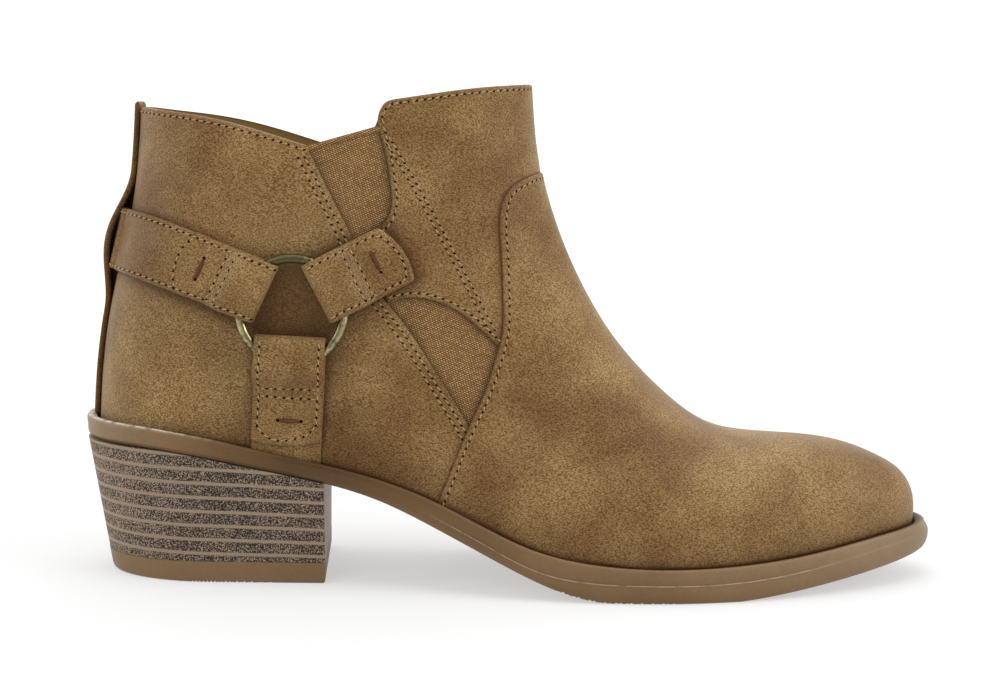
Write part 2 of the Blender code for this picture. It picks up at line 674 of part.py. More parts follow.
def outward(place, a, b, core_x):
    """Outward normal of a mapped surface, from its slopes along and across."""
    small = 1e-3
    slope_a = place(a + small, b) - place(a - small, b)
    slope_b = place(a, b + small) - place(a, b - small)
    normal = np.cross(slope_a, slope_b)
    normal /= np.linalg.norm(normal, axis=-1, keepdims=True)
    points = place(a, b)
    core = np.stack([np.full(a.shape, core_x), np.full(a.shape, CENTRE_Y), points[..., 2]], -1)
    facing = np.sum(normal * (points - core), axis=-1, keepdims=True)
    return points, normal * np.sign(facing)


def strap_solid(name, path, place, half, collection, finish, core_x, to_map=None, from_ring=None, slant=0.0,
                round_end=0.0, columns=4):
    """Strap of even thickness whose middle follows a path of length and height over a mapped surface."""
    path = np.array(path, float)
    ahead = np.gradient(path, axis=0)
    ahead /= np.linalg.norm(ahead, axis=1, keepdims=True)
    aside = np.stack([-ahead[:, 1], ahead[:, 0]], 1) * STRAP_THICK / 2
    across = np.linspace(-1, 1, columns)
    width = np.full(len(path), half)
    if from_ring is not None:
        drawn_in = 1 - rounded((from_ring(path[:, 0]) - RING_RADIUS / 2) / RING_RADIUS, 2.0)
        width = half - RING_PINCH * drawn_in
    if round_end:
        left = np.linalg.norm(path - path[-1], axis=1)
        width = np.minimum(width, half - round_end + round_end * rounded(left / round_end + 0.03, 2.0))
    layers = []
    for line, order in ((path + aside, 1), (path - aside, -1)):
        a = np.repeat(line[:, :1], len(across), axis=1)
        b = width[:, None] * across[None, ::order]
        share = np.linspace(1, 0, len(path))[:, None] ** 6
        a = a + slant * b * share
        if to_map is not None:
            a = to_map(a)
        points, normal = outward(place, a, b, core_x)
        layers.append(points + normal * line[:, 1][:, None, None])
    loops = np.concatenate(layers, axis=1)
    ids = np.arange(loops.shape[0] * loops.shape[1]).reshape(loops.shape[:2])
    faces = grid_faces(ids, round_rows=True)
    size = len(across)
    for ring in (ids[0], ids[-1]):
        faces += grid_faces(np.stack([ring[:size], ring[:size - 1:-1]], 0))
    return add_object(name, loops.reshape(-1, 3), faces, collection, finish)


def fold_path(fold, under, top_end):
    """Length and height of a strap: beneath from its end to the fold, round the ring, and back on top."""
    turn_at = fold + TURN_RADIUS + STRAP_THICK / 2
    ring_past = RING_RADIUS + 2 * RING_WIRE
    sewn = ring_past + 6.0
    low = [(a, LAYER_LOW) for a in np.linspace(under, turn_at, 5)[:-1]]
    angles = np.linspace(-math.pi / 2, -3 * math.pi / 2, 7)
    middle = LAYER_LOW + TURN_RADIUS
    turn = [(turn_at + TURN_RADIUS * math.cos(q), middle + TURN_RADIUS * math.sin(q)) for q in angles]
    over = [(ring_past, LAYER_LOW + 2 * TURN_RADIUS)]
    for share in (0.25, 0.5, 0.75, 1.0):
        level = LAYER_LOW + 2 * TURN_RADIUS + eased(share) * (LAYER_TOP - LAYER_LOW - 2 * TURN_RADIUS)
        over.append((ring_past + share * (sewn - ring_past), level))
    rest = [(a, LAYER_TOP) for a in np.linspace(sewn, top_end, 6)[1:]]
    return low + turn + over + rest


RINGS = {side: ring_frame(side) for side in ("lateral", "medial")}


def make_tabs(collection):
    """Front and lower straps of the harness on both sides, folded round their rings."""
    leather = material("tab_leather", LEATHER, 0.75)
    for side in ("lateral", "medial"):
        for name, tab, round_end in (("ring_tab", RING_TAB, 5.0), ("sole_tab", SOLE_TAB, 0.0)):
            path = fold_path(tab.fold, tab.under, tab.top)
            place = tab_place(tab, side)
            strap_solid(f"{name}_{side}", path, place, tab.half, collection, leather, RING_X,
                        from_ring=lambda length: length, slant=tab.slant, round_end=round_end)


def to_turn(run):
    """Turn round the heel at a distance in front of the back line; the sign gives the side."""
    return np.sign(run) * np.arccos(1 - np.abs(run) / STRAP_REACH) * 2 / math.pi


def make_heel_strap(collection):
    """Harness strap round the heel, folded round a ring at both ends."""
    ring_run = RING_X - back_x(RING_Z)
    side_path = fold_path(HEEL_STRAP.fold, HEEL_STRAP.under, ring_run - 16.0)
    half = [(a - ring_run, n) for a, n in side_path]
    left = to_turn(half[-1][0])
    for share in np.linspace(0, 1, 8)[1:]:
        run = -STRAP_REACH * (1 - math.cos((1 - share) * left * math.pi / 2))
        half.append((run, LAYER_TOP + min(1.0, 2.5 * share) * (LAYER_LOW - LAYER_TOP)))
    path = half + [(-a, n) for a, n in half[-2::-1]]
    strap_solid("heel_strap", path, heel_strap_place, HEEL_STRAP.half, collection,
                material("strap_leather", LEATHER, 0.75), -85.0, to_map=to_turn,
                from_ring=lambda run: ring_run - np.abs(run))


def make_backstay(collection):
    """Strip up the back of the heel, arched out over the harness strap."""
    rows = np.linspace(STAY_LOW, STAY_HIGH, 25)
    arch = np.clip(np.abs(rows - STAY_ARCH_Z) / STAY_ARCH_HALF, 0, 1)
    out = STAY_OUT + STAY_ARCH * np.cos(arch * math.pi / 2) ** 2
    strap_solid("backstay", np.stack([rows, out], 1), backstay_place, STAY_HALF, collection,
                material("backstay_leather", LEATHER, 0.75), -85.0, columns=3)


def make_rings(collection):
    """Ring of each side, through the three folds that hold it."""
    brass = material("antique_brass", BRASS, 0.35, 1.0)
    for side in RINGS:
        centre, axis, radius = RINGS[side]
        bpy.ops.mesh.primitive_torus_add(major_radius=radius * MM, minor_radius=RING_WIRE * MM,
                                         major_segments=28, minor_segments=7)
        ring = bpy.context.object
        ring.name = f"ring_{side}"
        turn = axis.to_track_quat("Z", "Y").to_matrix().to_4x4()
        ring.matrix_world = Matrix.Translation(centre * MM) @ turn
        ring.data.materials.append(brass)
        ring.data.shade_smooth()
        for owner in list(ring.users_collection):
            owner.objects.unlink(ring)
        collection.objects.link(ring)


def main():
    """Build the boot from its tables."""
    for thing in list(bpy.data.objects):
        bpy.data.objects.remove(thing, do_unlink=True)
    parts = bpy.data.collections.new("block_heel_boot")
    cutters = bpy.data.collections.new("cutters")
    for collection in (parts, cutters):
        bpy.context.scene.collection.children.link(collection)
    make_outsole(parts)
    make_heel(parts)
    make_insole(parts)
    make_upper(parts, cutters)
    make_leather(parts, cutters)
    make_backstay(parts)
    make_heel_strap(parts)
    make_tabs(parts)
    make_rings(parts)


main()
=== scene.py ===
"""Looks of the block heel boot: leather panels, gores, harness, stitching, sole and stacked heel.

The file is laid out as an add-on and run as a script. Lengths in the tables and functions are millimetres
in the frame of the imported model, and turn into metres when a mesh is made.
"""

import math
from collections import namedtuple

import bmesh
import bpy
import numpy as np
from mathutils import Matrix, Vector

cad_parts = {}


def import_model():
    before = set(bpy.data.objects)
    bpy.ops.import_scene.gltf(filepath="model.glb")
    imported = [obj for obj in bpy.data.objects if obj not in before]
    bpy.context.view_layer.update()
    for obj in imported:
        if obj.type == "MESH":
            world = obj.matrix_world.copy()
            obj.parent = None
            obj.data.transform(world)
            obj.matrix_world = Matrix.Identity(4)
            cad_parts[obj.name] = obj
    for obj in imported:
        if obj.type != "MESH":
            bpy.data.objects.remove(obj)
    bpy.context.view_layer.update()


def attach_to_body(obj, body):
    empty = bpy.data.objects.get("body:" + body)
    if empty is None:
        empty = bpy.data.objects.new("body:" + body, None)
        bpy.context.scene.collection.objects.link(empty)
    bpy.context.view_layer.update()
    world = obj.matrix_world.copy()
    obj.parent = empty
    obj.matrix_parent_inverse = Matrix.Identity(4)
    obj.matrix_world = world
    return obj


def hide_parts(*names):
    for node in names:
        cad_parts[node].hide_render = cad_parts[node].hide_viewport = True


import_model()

bl_info = {
    "name": "Block heel boot",
    "version": (1, 0, 0),
    "blender": (4, 5, 0),
    "location": "3D View > Sidebar > Boot",
    "description": "Dresses the packed boot with leather, gores, harness, stitches, sole and heel",
    "category": "Object",
}

MM = 0.001

# The two sides, with the way that each faces across the boot
SIDES = {"lateral": -1, "medial": 1}

# Driving sizes of the boot, as in its solids
HEEL_END, TOE_END = -128.0, 128.0
CENTRE_Y = 3.0
HEEL_ROUND, COLLAR_ROUND, TOE_ROUND = 34.0, 46.0, 88.0
BACK_POWER = 2.1
SWELL_FROM = 0.45
GAP = 0.3
VAMP_RISE = 0.6
RAND = 4.0
CUP_DEPTH = 3.2
INSOLE_THICK = 2.4
LINING_LEVEL = -2.6
GORE_LEVEL = -1.0
STRAP_THICK = 1.2

# How far the edges of the panels turn down: at the vamp's seam, beside a gore and over the collar
VAMP_SKIRT, GORE_SKIRT, COLLAR_SKIRT = -1.2, -1.4, LINING_LEVEL - 0.2

# Heel
LIFT_HEIGHT = 6.6
HEEL_BASE_BACK = -121.0
HEEL_BASE_HALF = 25.5
BREAST = {"lateral": -53.9, "medial": -56.6}

# Height of the lowest pale line of the heel at the breast, slope of a line at floor level and the gain of
# that slope for each metre of height
STACK_FROM = 8.6
FAN_SLOPE, FAN_GAIN = 0.016, 0.5

# Harness
RING_X, RING_Z = -63.2, 81.1
RING_RADIUS, RING_WIRE = 15.05, 1.38
TURN_RADIUS = RING_WIRE + STRAP_THICK / 2 + 0.35
LAYER_LOW = 0.4 + STRAP_THICK / 2
LAYER_TOP = LAYER_LOW + STRAP_THICK + 0.1
RING_LEVEL = LAYER_LOW + TURN_RADIUS + 0.6
RING_FADE = 9.0
RING_MERGE = 0.001
STRAP_BACK_Z, STRAP_SLOPE, STRAP_LEVEL, STRAP_REACH = 99.4, 0.375, 14.0, 64.0
STRAP_TILT = math.radians(25)
STAY_HALF, STAY_LOW, STAY_HIGH = 5.0, 46.5, 140.4
STAY_OUT, STAY_ARCH, STAY_ARCH_Z, STAY_ARCH_HALF = 1.0, 4.2, 99.4, 21.0
# Thickness of the strip, half thickness of its dark core of painted shadow, and the strip's burnish and tone
STAY_THICK, STAY_SHADOW_HALF, STAY_BURNISH, STAY_TONE = 1.6, 0.5, 0.2, -0.6

# Place along the boot that the straps round the heel face away from
HEEL_CORE = -85.0

# Length behind the ring over which a strap's top layer comes down, and step along the strap's mesh
STRAP_DROP, STRAP_STEP = 7.0, 0.35

# Shares of the thickness over the first steps from an end, rounding of the long edges, and the length before
# the far end over which it bows
STRAP_ENDS = (0.0, 0.6, 0.9, 1.0)
STRAP_CORNER, BOW_LENGTH = 0.55, 9.0

# Distance from the back line at which the heel strap's side, straight to the ring, turns into its round back
STRAP_ROUND = 16.0

# Heel strap at the back line: distance from that line and rise, where it stands off under the backstay
STRAP_BACK = [(-0.5, 0.0), (-0.2, 1.2), (0.0, 2.0)]

# Straps folded round the ring: direction from its centre in the side view, middle and half of the width,
# place of the fold, end of the layer beneath and end of the layer on top, on the heel strap past the back
# line; then the bow of the far end, the middle that it bows about and the tone of the leather
Tab = namedtuple("Tab", "angle middle half fold under top bow bow_middle tone")
RING_TAB = Tab(27.5, 0.9, 9.3, 8.2, 30.0, 36.0, 0.024, -2.5, 0.0)
SOLE_TAB = Tab(-92.5, 0.0, 10.2, 7.2, 45.0, 39.4, 0.012, -1.5, -0.2)
HEEL_STRAP = Tab(160.0, 0.0, 9.1, 8.3, 34.0, 70.0, 0.0, 0.0, -0.4)
TABS = (RING_TAB, SOLE_TAB, HEEL_STRAP)

# Half widths of the sole along the boot
Plan = namedtuple("Plan", "x lateral medial")
PLAN = [
    Plan(-128, 30.5, 29.5), Plan(-60, 32.5, 28.0), Plan(-25, 36.0, 24.0), Plan(0, 42.5, 27.0),
    Plan(33, 47.0, 38.5), Plan(60, 46.0, 41.5), Plan(95, 41.5, 41.0), Plan(128, 38.0, 40.0),
]

# Heights of the sole's rim, side step and underside along the boot
Height = namedtuple("Height", "x rim step under")
HEIGHTS = [
    Height(-128, 47.2, 43.5, 40.2), Height(-104, 46.2, 43.0, 40.0), Height(-75, 41.0, 38.0, 35.2),
    Height(-55, 36.8, 34.0, 31.3), Height(-38, 32.6, 29.2, 26.4), Height(-22, 27.0, 22.6, 19.3),
    Height(-7, 20.2, 15.4, 12.1), Height(8, 14.2, 8.6, 5.2), Height(20, 11.6, 6.2, 1.2),
    Height(40, 10.0, 5.4, -0.6), Height(62, 10.2, 5.6, -0.3), Height(88, 12.4, 8.2, 2.5),
    Height(110, 15.6, 12.0, 6.1), Height(128, 17.2, 14.4, 9.2),
]

# Sections of the last over the foot: ridge, place of the feather edge, length from the ridge over which a
# section rounds off, power of that rounding, and the factor on each side's width above the feather edge
Foot = namedtuple("Foot", "ridge_x ridge_z base_x crown square lateral_swell medial_swell")
FOOT = [
    Foot(122.2, 15.0, 122.2, 1.1, 2.1, 1.0, 1.0), Foot(122.5, 20.0, 120.9, 6.4, 2.1, 1.0, 1.0),
    Foot(122.0, 25.0, 118.2, 12.1, 2.15, 1.0, 1.0), Foot(119.2, 30.2, 113.5, 18.1, 2.2, 1.0, 1.0),
    Foot(114.0, 34.0, 106.0, 23.3, 2.25, 1.0, 1.0), Foot(105.5, 37.7, 96.0, 28.7, 2.3, 1.0, 1.0),
    Foot(92.0, 40.6, 80.0, 34.2, 2.3, 1.0, 1.0), Foot(75.0, 41.7, 62.0, 36.8, 2.2, 1.0, 1.0),
    Foot(60.0, 44.6, 46.0, 40.1, 2.1, 1.0, 1.0), Foot(47.0, 53.4, 30.0, 48.9, 2.0, 1.0, 1.02),
    Foot(34.0, 66.6, 12.0, 60.5, 1.95, 0.96, 1.1), Foot(24.2, 80.6, -10.0, 71.0, 1.9, 0.91, 1.24),
    Foot(16.8, 95.0, -36.0, 76.0, 1.9, 0.92, 1.22), Foot(11.4, 109.0, -68.0, 77.0, 1.95, 0.965, 1.1),
    Foot(8.4, 120.0, -100.0, 76.5, 2.0, 0.99, 1.025), Foot(7.9, 123.0, -114.0, 76.0, 2.0, 0.998, 1.006),
    Foot(7.6, 124.8, -121.5, 75.4, 2.0, 1.0, 1.0),
]

# Sections of the last up the shaft: its ridge, back line, half widths and rounding
Shaft = namedtuple("Shaft", "ridge_x ridge_z base_x base_z lateral medial crown square")
SHAFT = [
    Shaft(7.4, 126.0, -124.2, 44.6, 26.6, 25.4, 74.8, 2.0),
    Shaft(6.7, 131.0, -123.2, 61.0, 26.9, 26.0, 71.5, 2.0),
    Shaft(6.2, 136.0, -119.4, 85.5, 27.3, 26.9, 67.0, 2.0),
    Shaft(5.8, 141.0, -113.8, 110.0, 27.4, 27.4, 62.0, 2.0),
    Shaft(5.4, 147.5, -110.9, 142.0, 27.0, 27.0, 58.0, 2.0),
]

# Seams and edges of the leather seen from the side, as x and z
VAMP_SEAM = [
    (24.0, 122.0), (8.4, 120.6), (2.6, 118.5), (-1.8, 115.0), (-3.7, 109.0), (-3.4, 98.4), (-2.6, 84.0),
    (-2.8, 74.0), (-4.5, 66.8), (-7.8, 56.8), (-12.3, 47.0), (-16.8, 35.8), (-20.4, 26.9), (-25.0, 15.0),
]
QUARTER_EDGE = [
    (-59.4, 128.3), (-52.4, 114.3), (-46.1, 101.4), (-40.4, 89.0), (-32.3, 78.6), (-20.6, 61.0),
    (-12.0, 47.6), (-5.0, 35.0), (1.0, 18.0),
]
GORE_FRONT = [(-38.6, 134.0), (-36.5, 125.8), (-35.1, 117.3), (-34.8, 111.5), (-36.7, 106.6), (-41.0, 103.0)]
EAR_LOWER = [
    (-36.0, 83.4), (-30.0, 84.7), (-20.8, 83.3), (-12.1, 78.3), (-6.3, 73.0), (-3.6, 70.4), (2.0, 65.0),
]
COLLAR_BACK = [(-111.2, 138.9), (-108.0, 138.5), (-90.0, 136.3), (-75.4, 133.1), (-59.4, 128.3)]
COLLAR_FRONT = [(-38.6, 137.6), (-36.9, 140.6), (-32.6, 142.0), (-18.5, 144.2), (-4.1, 145.9), (5.5, 146.6)]
GORE_TOP = [(-62.0, 127.0), (-48.8, 130.8), (-36.0, 134.4), (-2.0, 140.0)]
DIAGONAL = [(-36.6, 131.0), (-25.8, 112.5), (-17.4, 97.0), (-5.6, 74.8)]

# Corner of the shaft front above the gore's edge, and the front end of the gore's top below that corner
FRONT_CORNER = (-38.9, 136.0)
COLLAR_NOTCH = (-39.0, 134.0)

# Edge of the shaft front behind the front tab, and under the vamp up to the ridge
BEHIND_TAB = (-39.0, 93.0)
UNDER_VAMP = [(2.0, 65.0), (3.0, 80.0), (3.0, 95.0), (4.0, 108.0)]

# Height from which the shaft front reaches the ridge, and the section below that height
RIDGE_FROM, RIDGE_SECTION = 118.0, 13

# Front edge of a gore under the leather, how far it goes under the quarter, and its lowest height
GORE_UNDER = [(4.0, 42.0), (4.0, 90.0), (0.0, 120.0), (-4.0, 139.5)]
GORE_LAP, GORE_LOW = 4.0, 42.0

# Marks that fade with distance: strength at the edge, and the distance over which it falls to about a third
Shade = namedtuple("Shade", "strength reach")
PANEL_BURNISH = Shade(0.3, 0.35)
STRAP_BURNISH = Shade(0.25, 0.4)
# Painted shade on the leather just above the sole: a thin dark line and a wide soft band
SOLE_SHADOW_LINE = Shade(1.0, 0.7)
SOLE_SHADE_BAND = Shade(0.38, 12.0)
STRAP_SHADE = Shade(0.7, 1.9)
SEAM_SHADE = Shade(1.0, 0.9)
GORE_SHADE = Shade(0.9, 1.0)

# Stretch from the back of the heel over which the painted shade above the sole comes in
SOLE_SHADE_FROM, SOLE_SHADE_FULL = -115.0, -65.0

# Shade of the leather inside the ring, from a little outside it
RING_SHADE, RING_SHADE_OUT, RING_SHADE_FADE = 0.68, 2.0, 5.0

# Distance within which the points of the shaft front's two halves join on the ridge
HALVES_MERGE = 0.02

# Weave of the gores: tilt in the side view, length and height of a thread, and the gap between threads
WEAVE_TILT = math.radians(-24)
WEAVE_LENGTH, WEAVE_ROW, WEAVE_GAP = 0.9, 0.56, 0.17

# Bead along the top of a gore: its radius, drop below the edge and depth in the weave
BEAD_RADIUS, BEAD_DROP, BEAD_DEPTH = 0.75, 0.5, 0.1

# Share of the lining's height from which it has a leather facing, and the share over which that comes in
FACING_FROM, FACING_FADE = 0.9, 0.02

# Section at the toe that the lining starts from
LINING_SECTION = 2

# Turns of halving that find a place on the last, and how close to the toe's tip a normal is read
HALVINGS, TIP_CLEAR = 34, 0.4

# Length that stands for none in a division, and distance that stands for no edge near
TINY, FAR = 1e-12, 1e3


def spline(knots, values, at, still_start=False, still_end=False):
    """Cubic curve through the values with smooth curvature, level at an end that is asked to be still."""
    knots = np.asarray(knots, float)
    values = np.asarray(values, float)
    at = np.clip(np.asarray(at, float), knots[0], knots[-1])
    step = np.diff(knots)
    rise = np.diff(values) / step
    count = len(knots)
    system = np.zeros((count, count))
    right = np.zeros(count)
    system[0, :2] = (1, 0) if still_start else (2, 1)
    system[-1, -2:] = (0, 1) if still_end else (1, 2)
    right[0] = 0 if still_start else 3 * rise[0]
    right[-1] = 0 if still_end else 3 * rise[-1]
    inner = np.arange(1, count - 1)
    before, after = 1 / step[:-1], 1 / step[1:]
    system[inner, inner - 1] = before
    system[inner, inner] = 2 * (before + after)
    system[inner, inner + 1] = after
    right[inner] = 3 * (rise[:-1] * before + rise[1:] * after)
    slope = np.linalg.solve(system, right)
    j = np.clip(np.searchsorted(knots, at) - 1, 0, count - 2)
    t = (at - knots[j]) / step[j]
    ends = (2 * t**3 - 3 * t**2 + 1) * values[j] + (3 * t**2 - 2 * t**3) * values[j + 1]
    return ends + step[j] * ((t**3 - 2 * t**2 + t) * slope[j] + (t**3 - t**2) * slope[j + 1])


def column(rows, name):
    """One named column of a table."""
    return np.array([getattr(row, name) for row in rows], float)


def smooth(share):
    """Smooth step: 0 below 0, 1 above 1 and level at both."""
    share = np.clip(share, 0, 1)
    return share * share * (3 - 2 * share)


def fading(shade, distance):
    """Strength of a mark at a distance."""
    return shade.strength * np.exp(-distance / shade.reach)


def unit(vectors):
    """Vectors brought to length 1."""
    return vectors / np.maximum(np.linalg.norm(vectors, axis=-1, keepdims=True), TINY)


def run_along(points):
    """Distance along a line of points from the first to each."""
    return np.concatenate([[0], np.cumsum(np.linalg.norm(np.diff(points, axis=0), axis=1))])


def left_of(line):
    """Unit vectors to the left of a flat line's run."""
    ahead = unit(np.gradient(line, axis=0))
    return np.stack([-ahead[:, 1], ahead[:, 0]], -1)


def eased(count):
    """Shares from 0 to 1 that lie closer together at both ends."""
    return (1 - np.cos(np.linspace(0, math.pi, count))) / 2


def rounded(share, power):
    """Quarter of a superellipse: 0 at share 0, 1 from share 1 on."""
    share = np.clip(share, 0.0, 1.0)
    return (1 - (1 - share) ** power) ** (1 / power)


def height(name, x):
    """Height of the rim, step or underside of the sole; the forefoot lies flat on the floor."""
    z = spline(column(HEIGHTS, "x"), column(HEIGHTS, name), x)
    return np.maximum(z, 0.0) if name == "under" else z


def cup_floor(x):
    """Height of the floor of the cup in the sole."""
    return height("rim", x) - CUP_DEPTH


def seat(x):
    """Height of the feather edge, just above the floor of the cup."""
    return cup_floor(x) + 2 * GAP


def envelope(side, x):
    """Half width of the sole before its ends are rounded off."""
    return spline(column(PLAN, "x"), column(PLAN, side), x)


def outline(side, x, inset=0.0, heel=HEEL_END, toe=TOE_END):
    """Half width of an outline in plan, rounded at the heel and toe ends."""
    ends = rounded((x - heel) / HEEL_ROUND, BACK_POWER) * rounded((toe - x) / TOE_ROUND, 2.0)
    return (envelope(side, x) - inset) * ends


def section_knots():
    """Distance along the row of sections, midway between ridge and feather edge."""
    rows = FOOT + SHAFT
    ridge = np.stack([column(rows, "ridge_x"), column(rows, "ridge_z")], -1)
    base_z = np.concatenate([seat(column(FOOT, "base_x")), column(SHAFT, "base_z")])
    base = np.stack([column(rows, "base_x"), base_z], -1)
    steps = np.linalg.norm(np.diff(ridge, axis=0), axis=1) + np.linalg.norm(np.diff(base, axis=0), axis=1)
    return np.concatenate([[0.0], np.cumsum(steps) / 2])


KNOTS = section_knots()
CORNER = len(FOOT)


def back_x(z):
    """Line of the back of the heel and shaft."""
    return spline(column(SHAFT, "base_z"), column(SHAFT, "base_x"), z)


def back_reach(z):
    """Length over which the back rounds off at a height."""
    return np.interp(z, [SHAFT[0].base_z, SHAFT[-1].base_z], [HEEL_ROUND, COLLAR_ROUND])


def section_at(s):
    """Ridge and base points, crown share and squareness of the section at distance s."""
    rows = FOOT + SHAFT
    ridge_x = spline(KNOTS, column(rows, "ridge_x"), s)
    ridge_z = spline(KNOTS, column(rows, "ridge_z"), s)
    foot_x = spline(KNOTS[:CORNER + 1], column(rows[:CORNER + 1], "base_x"), s, still_end=True)
    foot_x = np.maximum(foot_x, SHAFT[0].base_x)
    back_z = spline(KNOTS[CORNER:], column(SHAFT, "base_z"), s, still_start=True)
    on_foot = s < KNOTS[CORNER]
    base_x = np.where(on_foot, foot_x, back_x(back_z))
    base_z = np.where(on_foot, seat(foot_x), back_z)
    reach = np.hypot(base_x - ridge_x, base_z - ridge_z)
    crown = np.minimum(spline(KNOTS, column(rows, "crown"), s), reach) / np.maximum(reach, GAP)
    return ridge_x, ridge_z, base_x, base_z, crown, spline(KNOTS, column(rows, "square"), s)


def half_width(side, s, share):
    """Half width of the last on a section before rounding: that of the feather edge, swelling above it."""
    foot_x = column(FOOT, "base_x")
    foot = (envelope(side, foot_x) - RAND) * rounded((FOOT[0].base_x - foot_x) / TOE_ROUND, 2.0)
    edge = spline(KNOTS, np.concatenate([foot, column(SHAFT, side)]), s)
    swell = np.concatenate([column(FOOT, side + "_swell"), np.ones(len(SHAFT))])
    body = edge * spline(KNOTS, swell, s)
    return body + (edge - body) * smooth((share - SWELL_FROM) / (1 - SWELL_FROM))


def last_point(s, w):
    """Point on the outer leather: w runs from -1 (lateral base) over the ridge at 0 to +1 (medial base)."""
    ridge_x, ridge_z, base_x, base_z, crown, square = section_at(s)
    turn = np.abs(w)
    closed = np.clip((s - KNOTS[CORNER - 3]) / (KNOTS[CORNER] - KNOTS[CORNER - 3]), 0, 1)
    share = (1 - closed) * (1 - np.cos(turn * math.pi / 2)) + closed * (1 - np.cos(turn * math.pi)) / 2
    x = ridge_x + share * (base_x - ridge_x)
    z = ridge_z + share * (base_z - ridge_z)
    half = np.where(w < 0, half_width("lateral", s, share), half_width("medial", s, share))
    y = half * rounded(share / crown, square) * rounded((x - back_x(z)) / back_reach(z), BACK_POWER)
    return np.stack([x, CENTRE_Y + np.sign(w) * y, z], -1)


def last_normal(s, w):
    """Outward normal of the leather, from its slopes along and across the sections."""
    small = 1e-3
    s = np.clip(s, KNOTS[0] + TIP_CLEAR, KNOTS[-1] - small)
    w = np.clip(w, -1 + small, 1 - small)
    along_s = last_point(s + small, w) - last_point(s - small, w)
    along_w = last_point(s, w + small) - last_point(s, w - small)
    return unit(np.cross(along_w, along_s))


def crossing(ahead_of, shape, first=0):
    """Distance s from a knot on at which a rule on the sections turns from true to false, by halving."""
    low, high = np.full(shape, KNOTS[first]), np.full(shape, KNOTS[-1])
    for _ in range(HALVINGS):
        middle = (low + high) / 2
        ahead = ahead_of(middle)
        low, high = np.where(ahead, middle, low), np.where(ahead, high, middle)
    return low


def side_y(x, z, side):
    """Y of the outer leather where a line across the boot at x, z meets one side."""
    x, z = np.broadcast_arrays(np.asarray(x, float), np.asarray(z, float))

    def before(s):
        ridge_x, ridge_z, base_x, base_z, _, _ = section_at(s)
        return (base_x - ridge_x) * (z - ridge_z) < (base_z - ridge_z) * (x - ridge_x)
    s = crossing(before, x.shape)
    ridge_x, ridge_z, base_x, base_z, crown, square = section_at(s)
    run = (x - ridge_x) * (base_x - ridge_x) + (z - ridge_z) * (base_z - ridge_z)
    share = run / ((base_x - ridge_x) ** 2 + (base_z - ridge_z) ** 2)
    half = half_width(side, s, share) * rounded(share / crown, square)
    half = half * rounded((x - back_x(z)) / back_reach(z), BACK_POWER)
    return CENTRE_Y + SIDES[side] * half


def side_frame(x, z, side):
    """Points of one side at x and z with their outward normals, from slopes over a tenth of a millimetre."""
    small = 0.05
    y = side_y(x, z, side)
    slope_x = (side_y(x + small, z, side) - side_y(x - small, z, side)) / (2 * small)
    slope_z = (side_y(x, z + small, side) - side_y(x, z - small, side)) / (2 * small)
    normal = SIDES[side] * np.stack([-slope_x, np.ones_like(y), -slope_z], -1)
    normal[np.abs(y - CENTRE_Y) < 1e-6, 1] = 0.0
    return np.stack(np.broadcast_arrays(x, y, z), -1), unit(normal)


def line_at(points, share):
    """Smooth line through given points, at shares of its length."""
    points = np.array(points, float)
    knots = run_along(points)
    at = np.asarray(share) * knots[-1]
    return np.stack([spline(knots, points[:, 0], at), spline(knots, points[:, 1], at)], -1)


def beside(points, distance):
    """Line beside a smooth line, at a distance to the left of its run in the side view."""
    line = line_at(points, np.linspace(0, 1, 400))
    return line + distance * left_of(line)


def patch(left, right, bottom, top, u, v):
    """Four-sided patch in the side view: the blend of its two pairs of edges less that of its corners."""
    u, v = u[None, :, None], v[:, None, None]
    across = (1 - u) * left[:, None] + u * right[:, None]
    up = (1 - v) * bottom[None] + v * top[None]
    corners = (1 - v) * ((1 - u) * bottom[0] + u * bottom[-1]) + v * ((1 - u) * top[0] + u * top[-1])
    return across + up - corners


def shares(count, fine_start=False, fine_end=False, fine=0.012):
    """Shares from 0 to 1, with a few close ones at an end whose edge is rounded."""
    close = np.array([0.08, 0.2, 0.4, 0.7]) * fine
    middle = np.linspace(fine if fine_start else 0, 1 - fine if fine_end else 1, count)
    start = np.concatenate([[0], close]) if fine_start else []
    end = np.concatenate([1 - close[::-1], [1]]) if fine_end else []
    return np.concatenate([start, middle, end])


def add_mesh(name, points, faces, finish, merge=0.0, **marks):
    """Object from points in millimetres and rows of point numbers, shaded smooth, with a value per point
    for each named mark."""
    points = np.asarray(points, float).reshape(-1, 3) * MM
    faces = np.asarray(faces, np.int32)
    mesh = bpy.data.meshes.new(name)
    mesh.vertices.add(len(points))
    mesh.vertices.foreach_set("co", points.astype(np.float32).ravel())
    size = faces.shape[1]
    mesh.loops.add(faces.size)
    mesh.loops.foreach_set("vertex_index", faces.ravel())
    mesh.polygons.add(len(faces))
    mesh.polygons.foreach_set("loop_start", np.arange(0, faces.size, size, dtype=np.int32))
    mesh.update(calc_edges=True)
    mesh.validate()
    for mark, values in marks.items():
        layer = mesh.attributes.new(mark, "FLOAT", "POINT")
        layer.data.foreach_set("value", np.asarray(values, np.float32).ravel())
    if merge:
        work = bmesh.new()
        work.from_mesh(mesh)
        bmesh.ops.remove_doubles(work, verts=work.verts, dist=merge * MM)
        work.to_mesh(mesh)
        work.free()
    mesh.shade_smooth()
    mesh.materials.append(finish)
    made = bpy.data.objects.new(name, mesh)
    bpy.context.scene.collection.objects.link(made)
    return made


def grid_quads(rows, columns, start=0, around=False, flip=False):
    """Rows of four point numbers between the rows and columns of a grid."""
    ids = start + np.arange(rows * columns).reshape(rows, columns)
    if around:
        ids = np.concatenate([ids, ids[:, :1]], axis=1)
    quads = np.stack([ids[:-1, :-1], ids[:-1, 1:], ids[1:, 1:], ids[1:, :-1]], -1).reshape(-1, 4)
    return quads[:, ::-1] if flip else quads


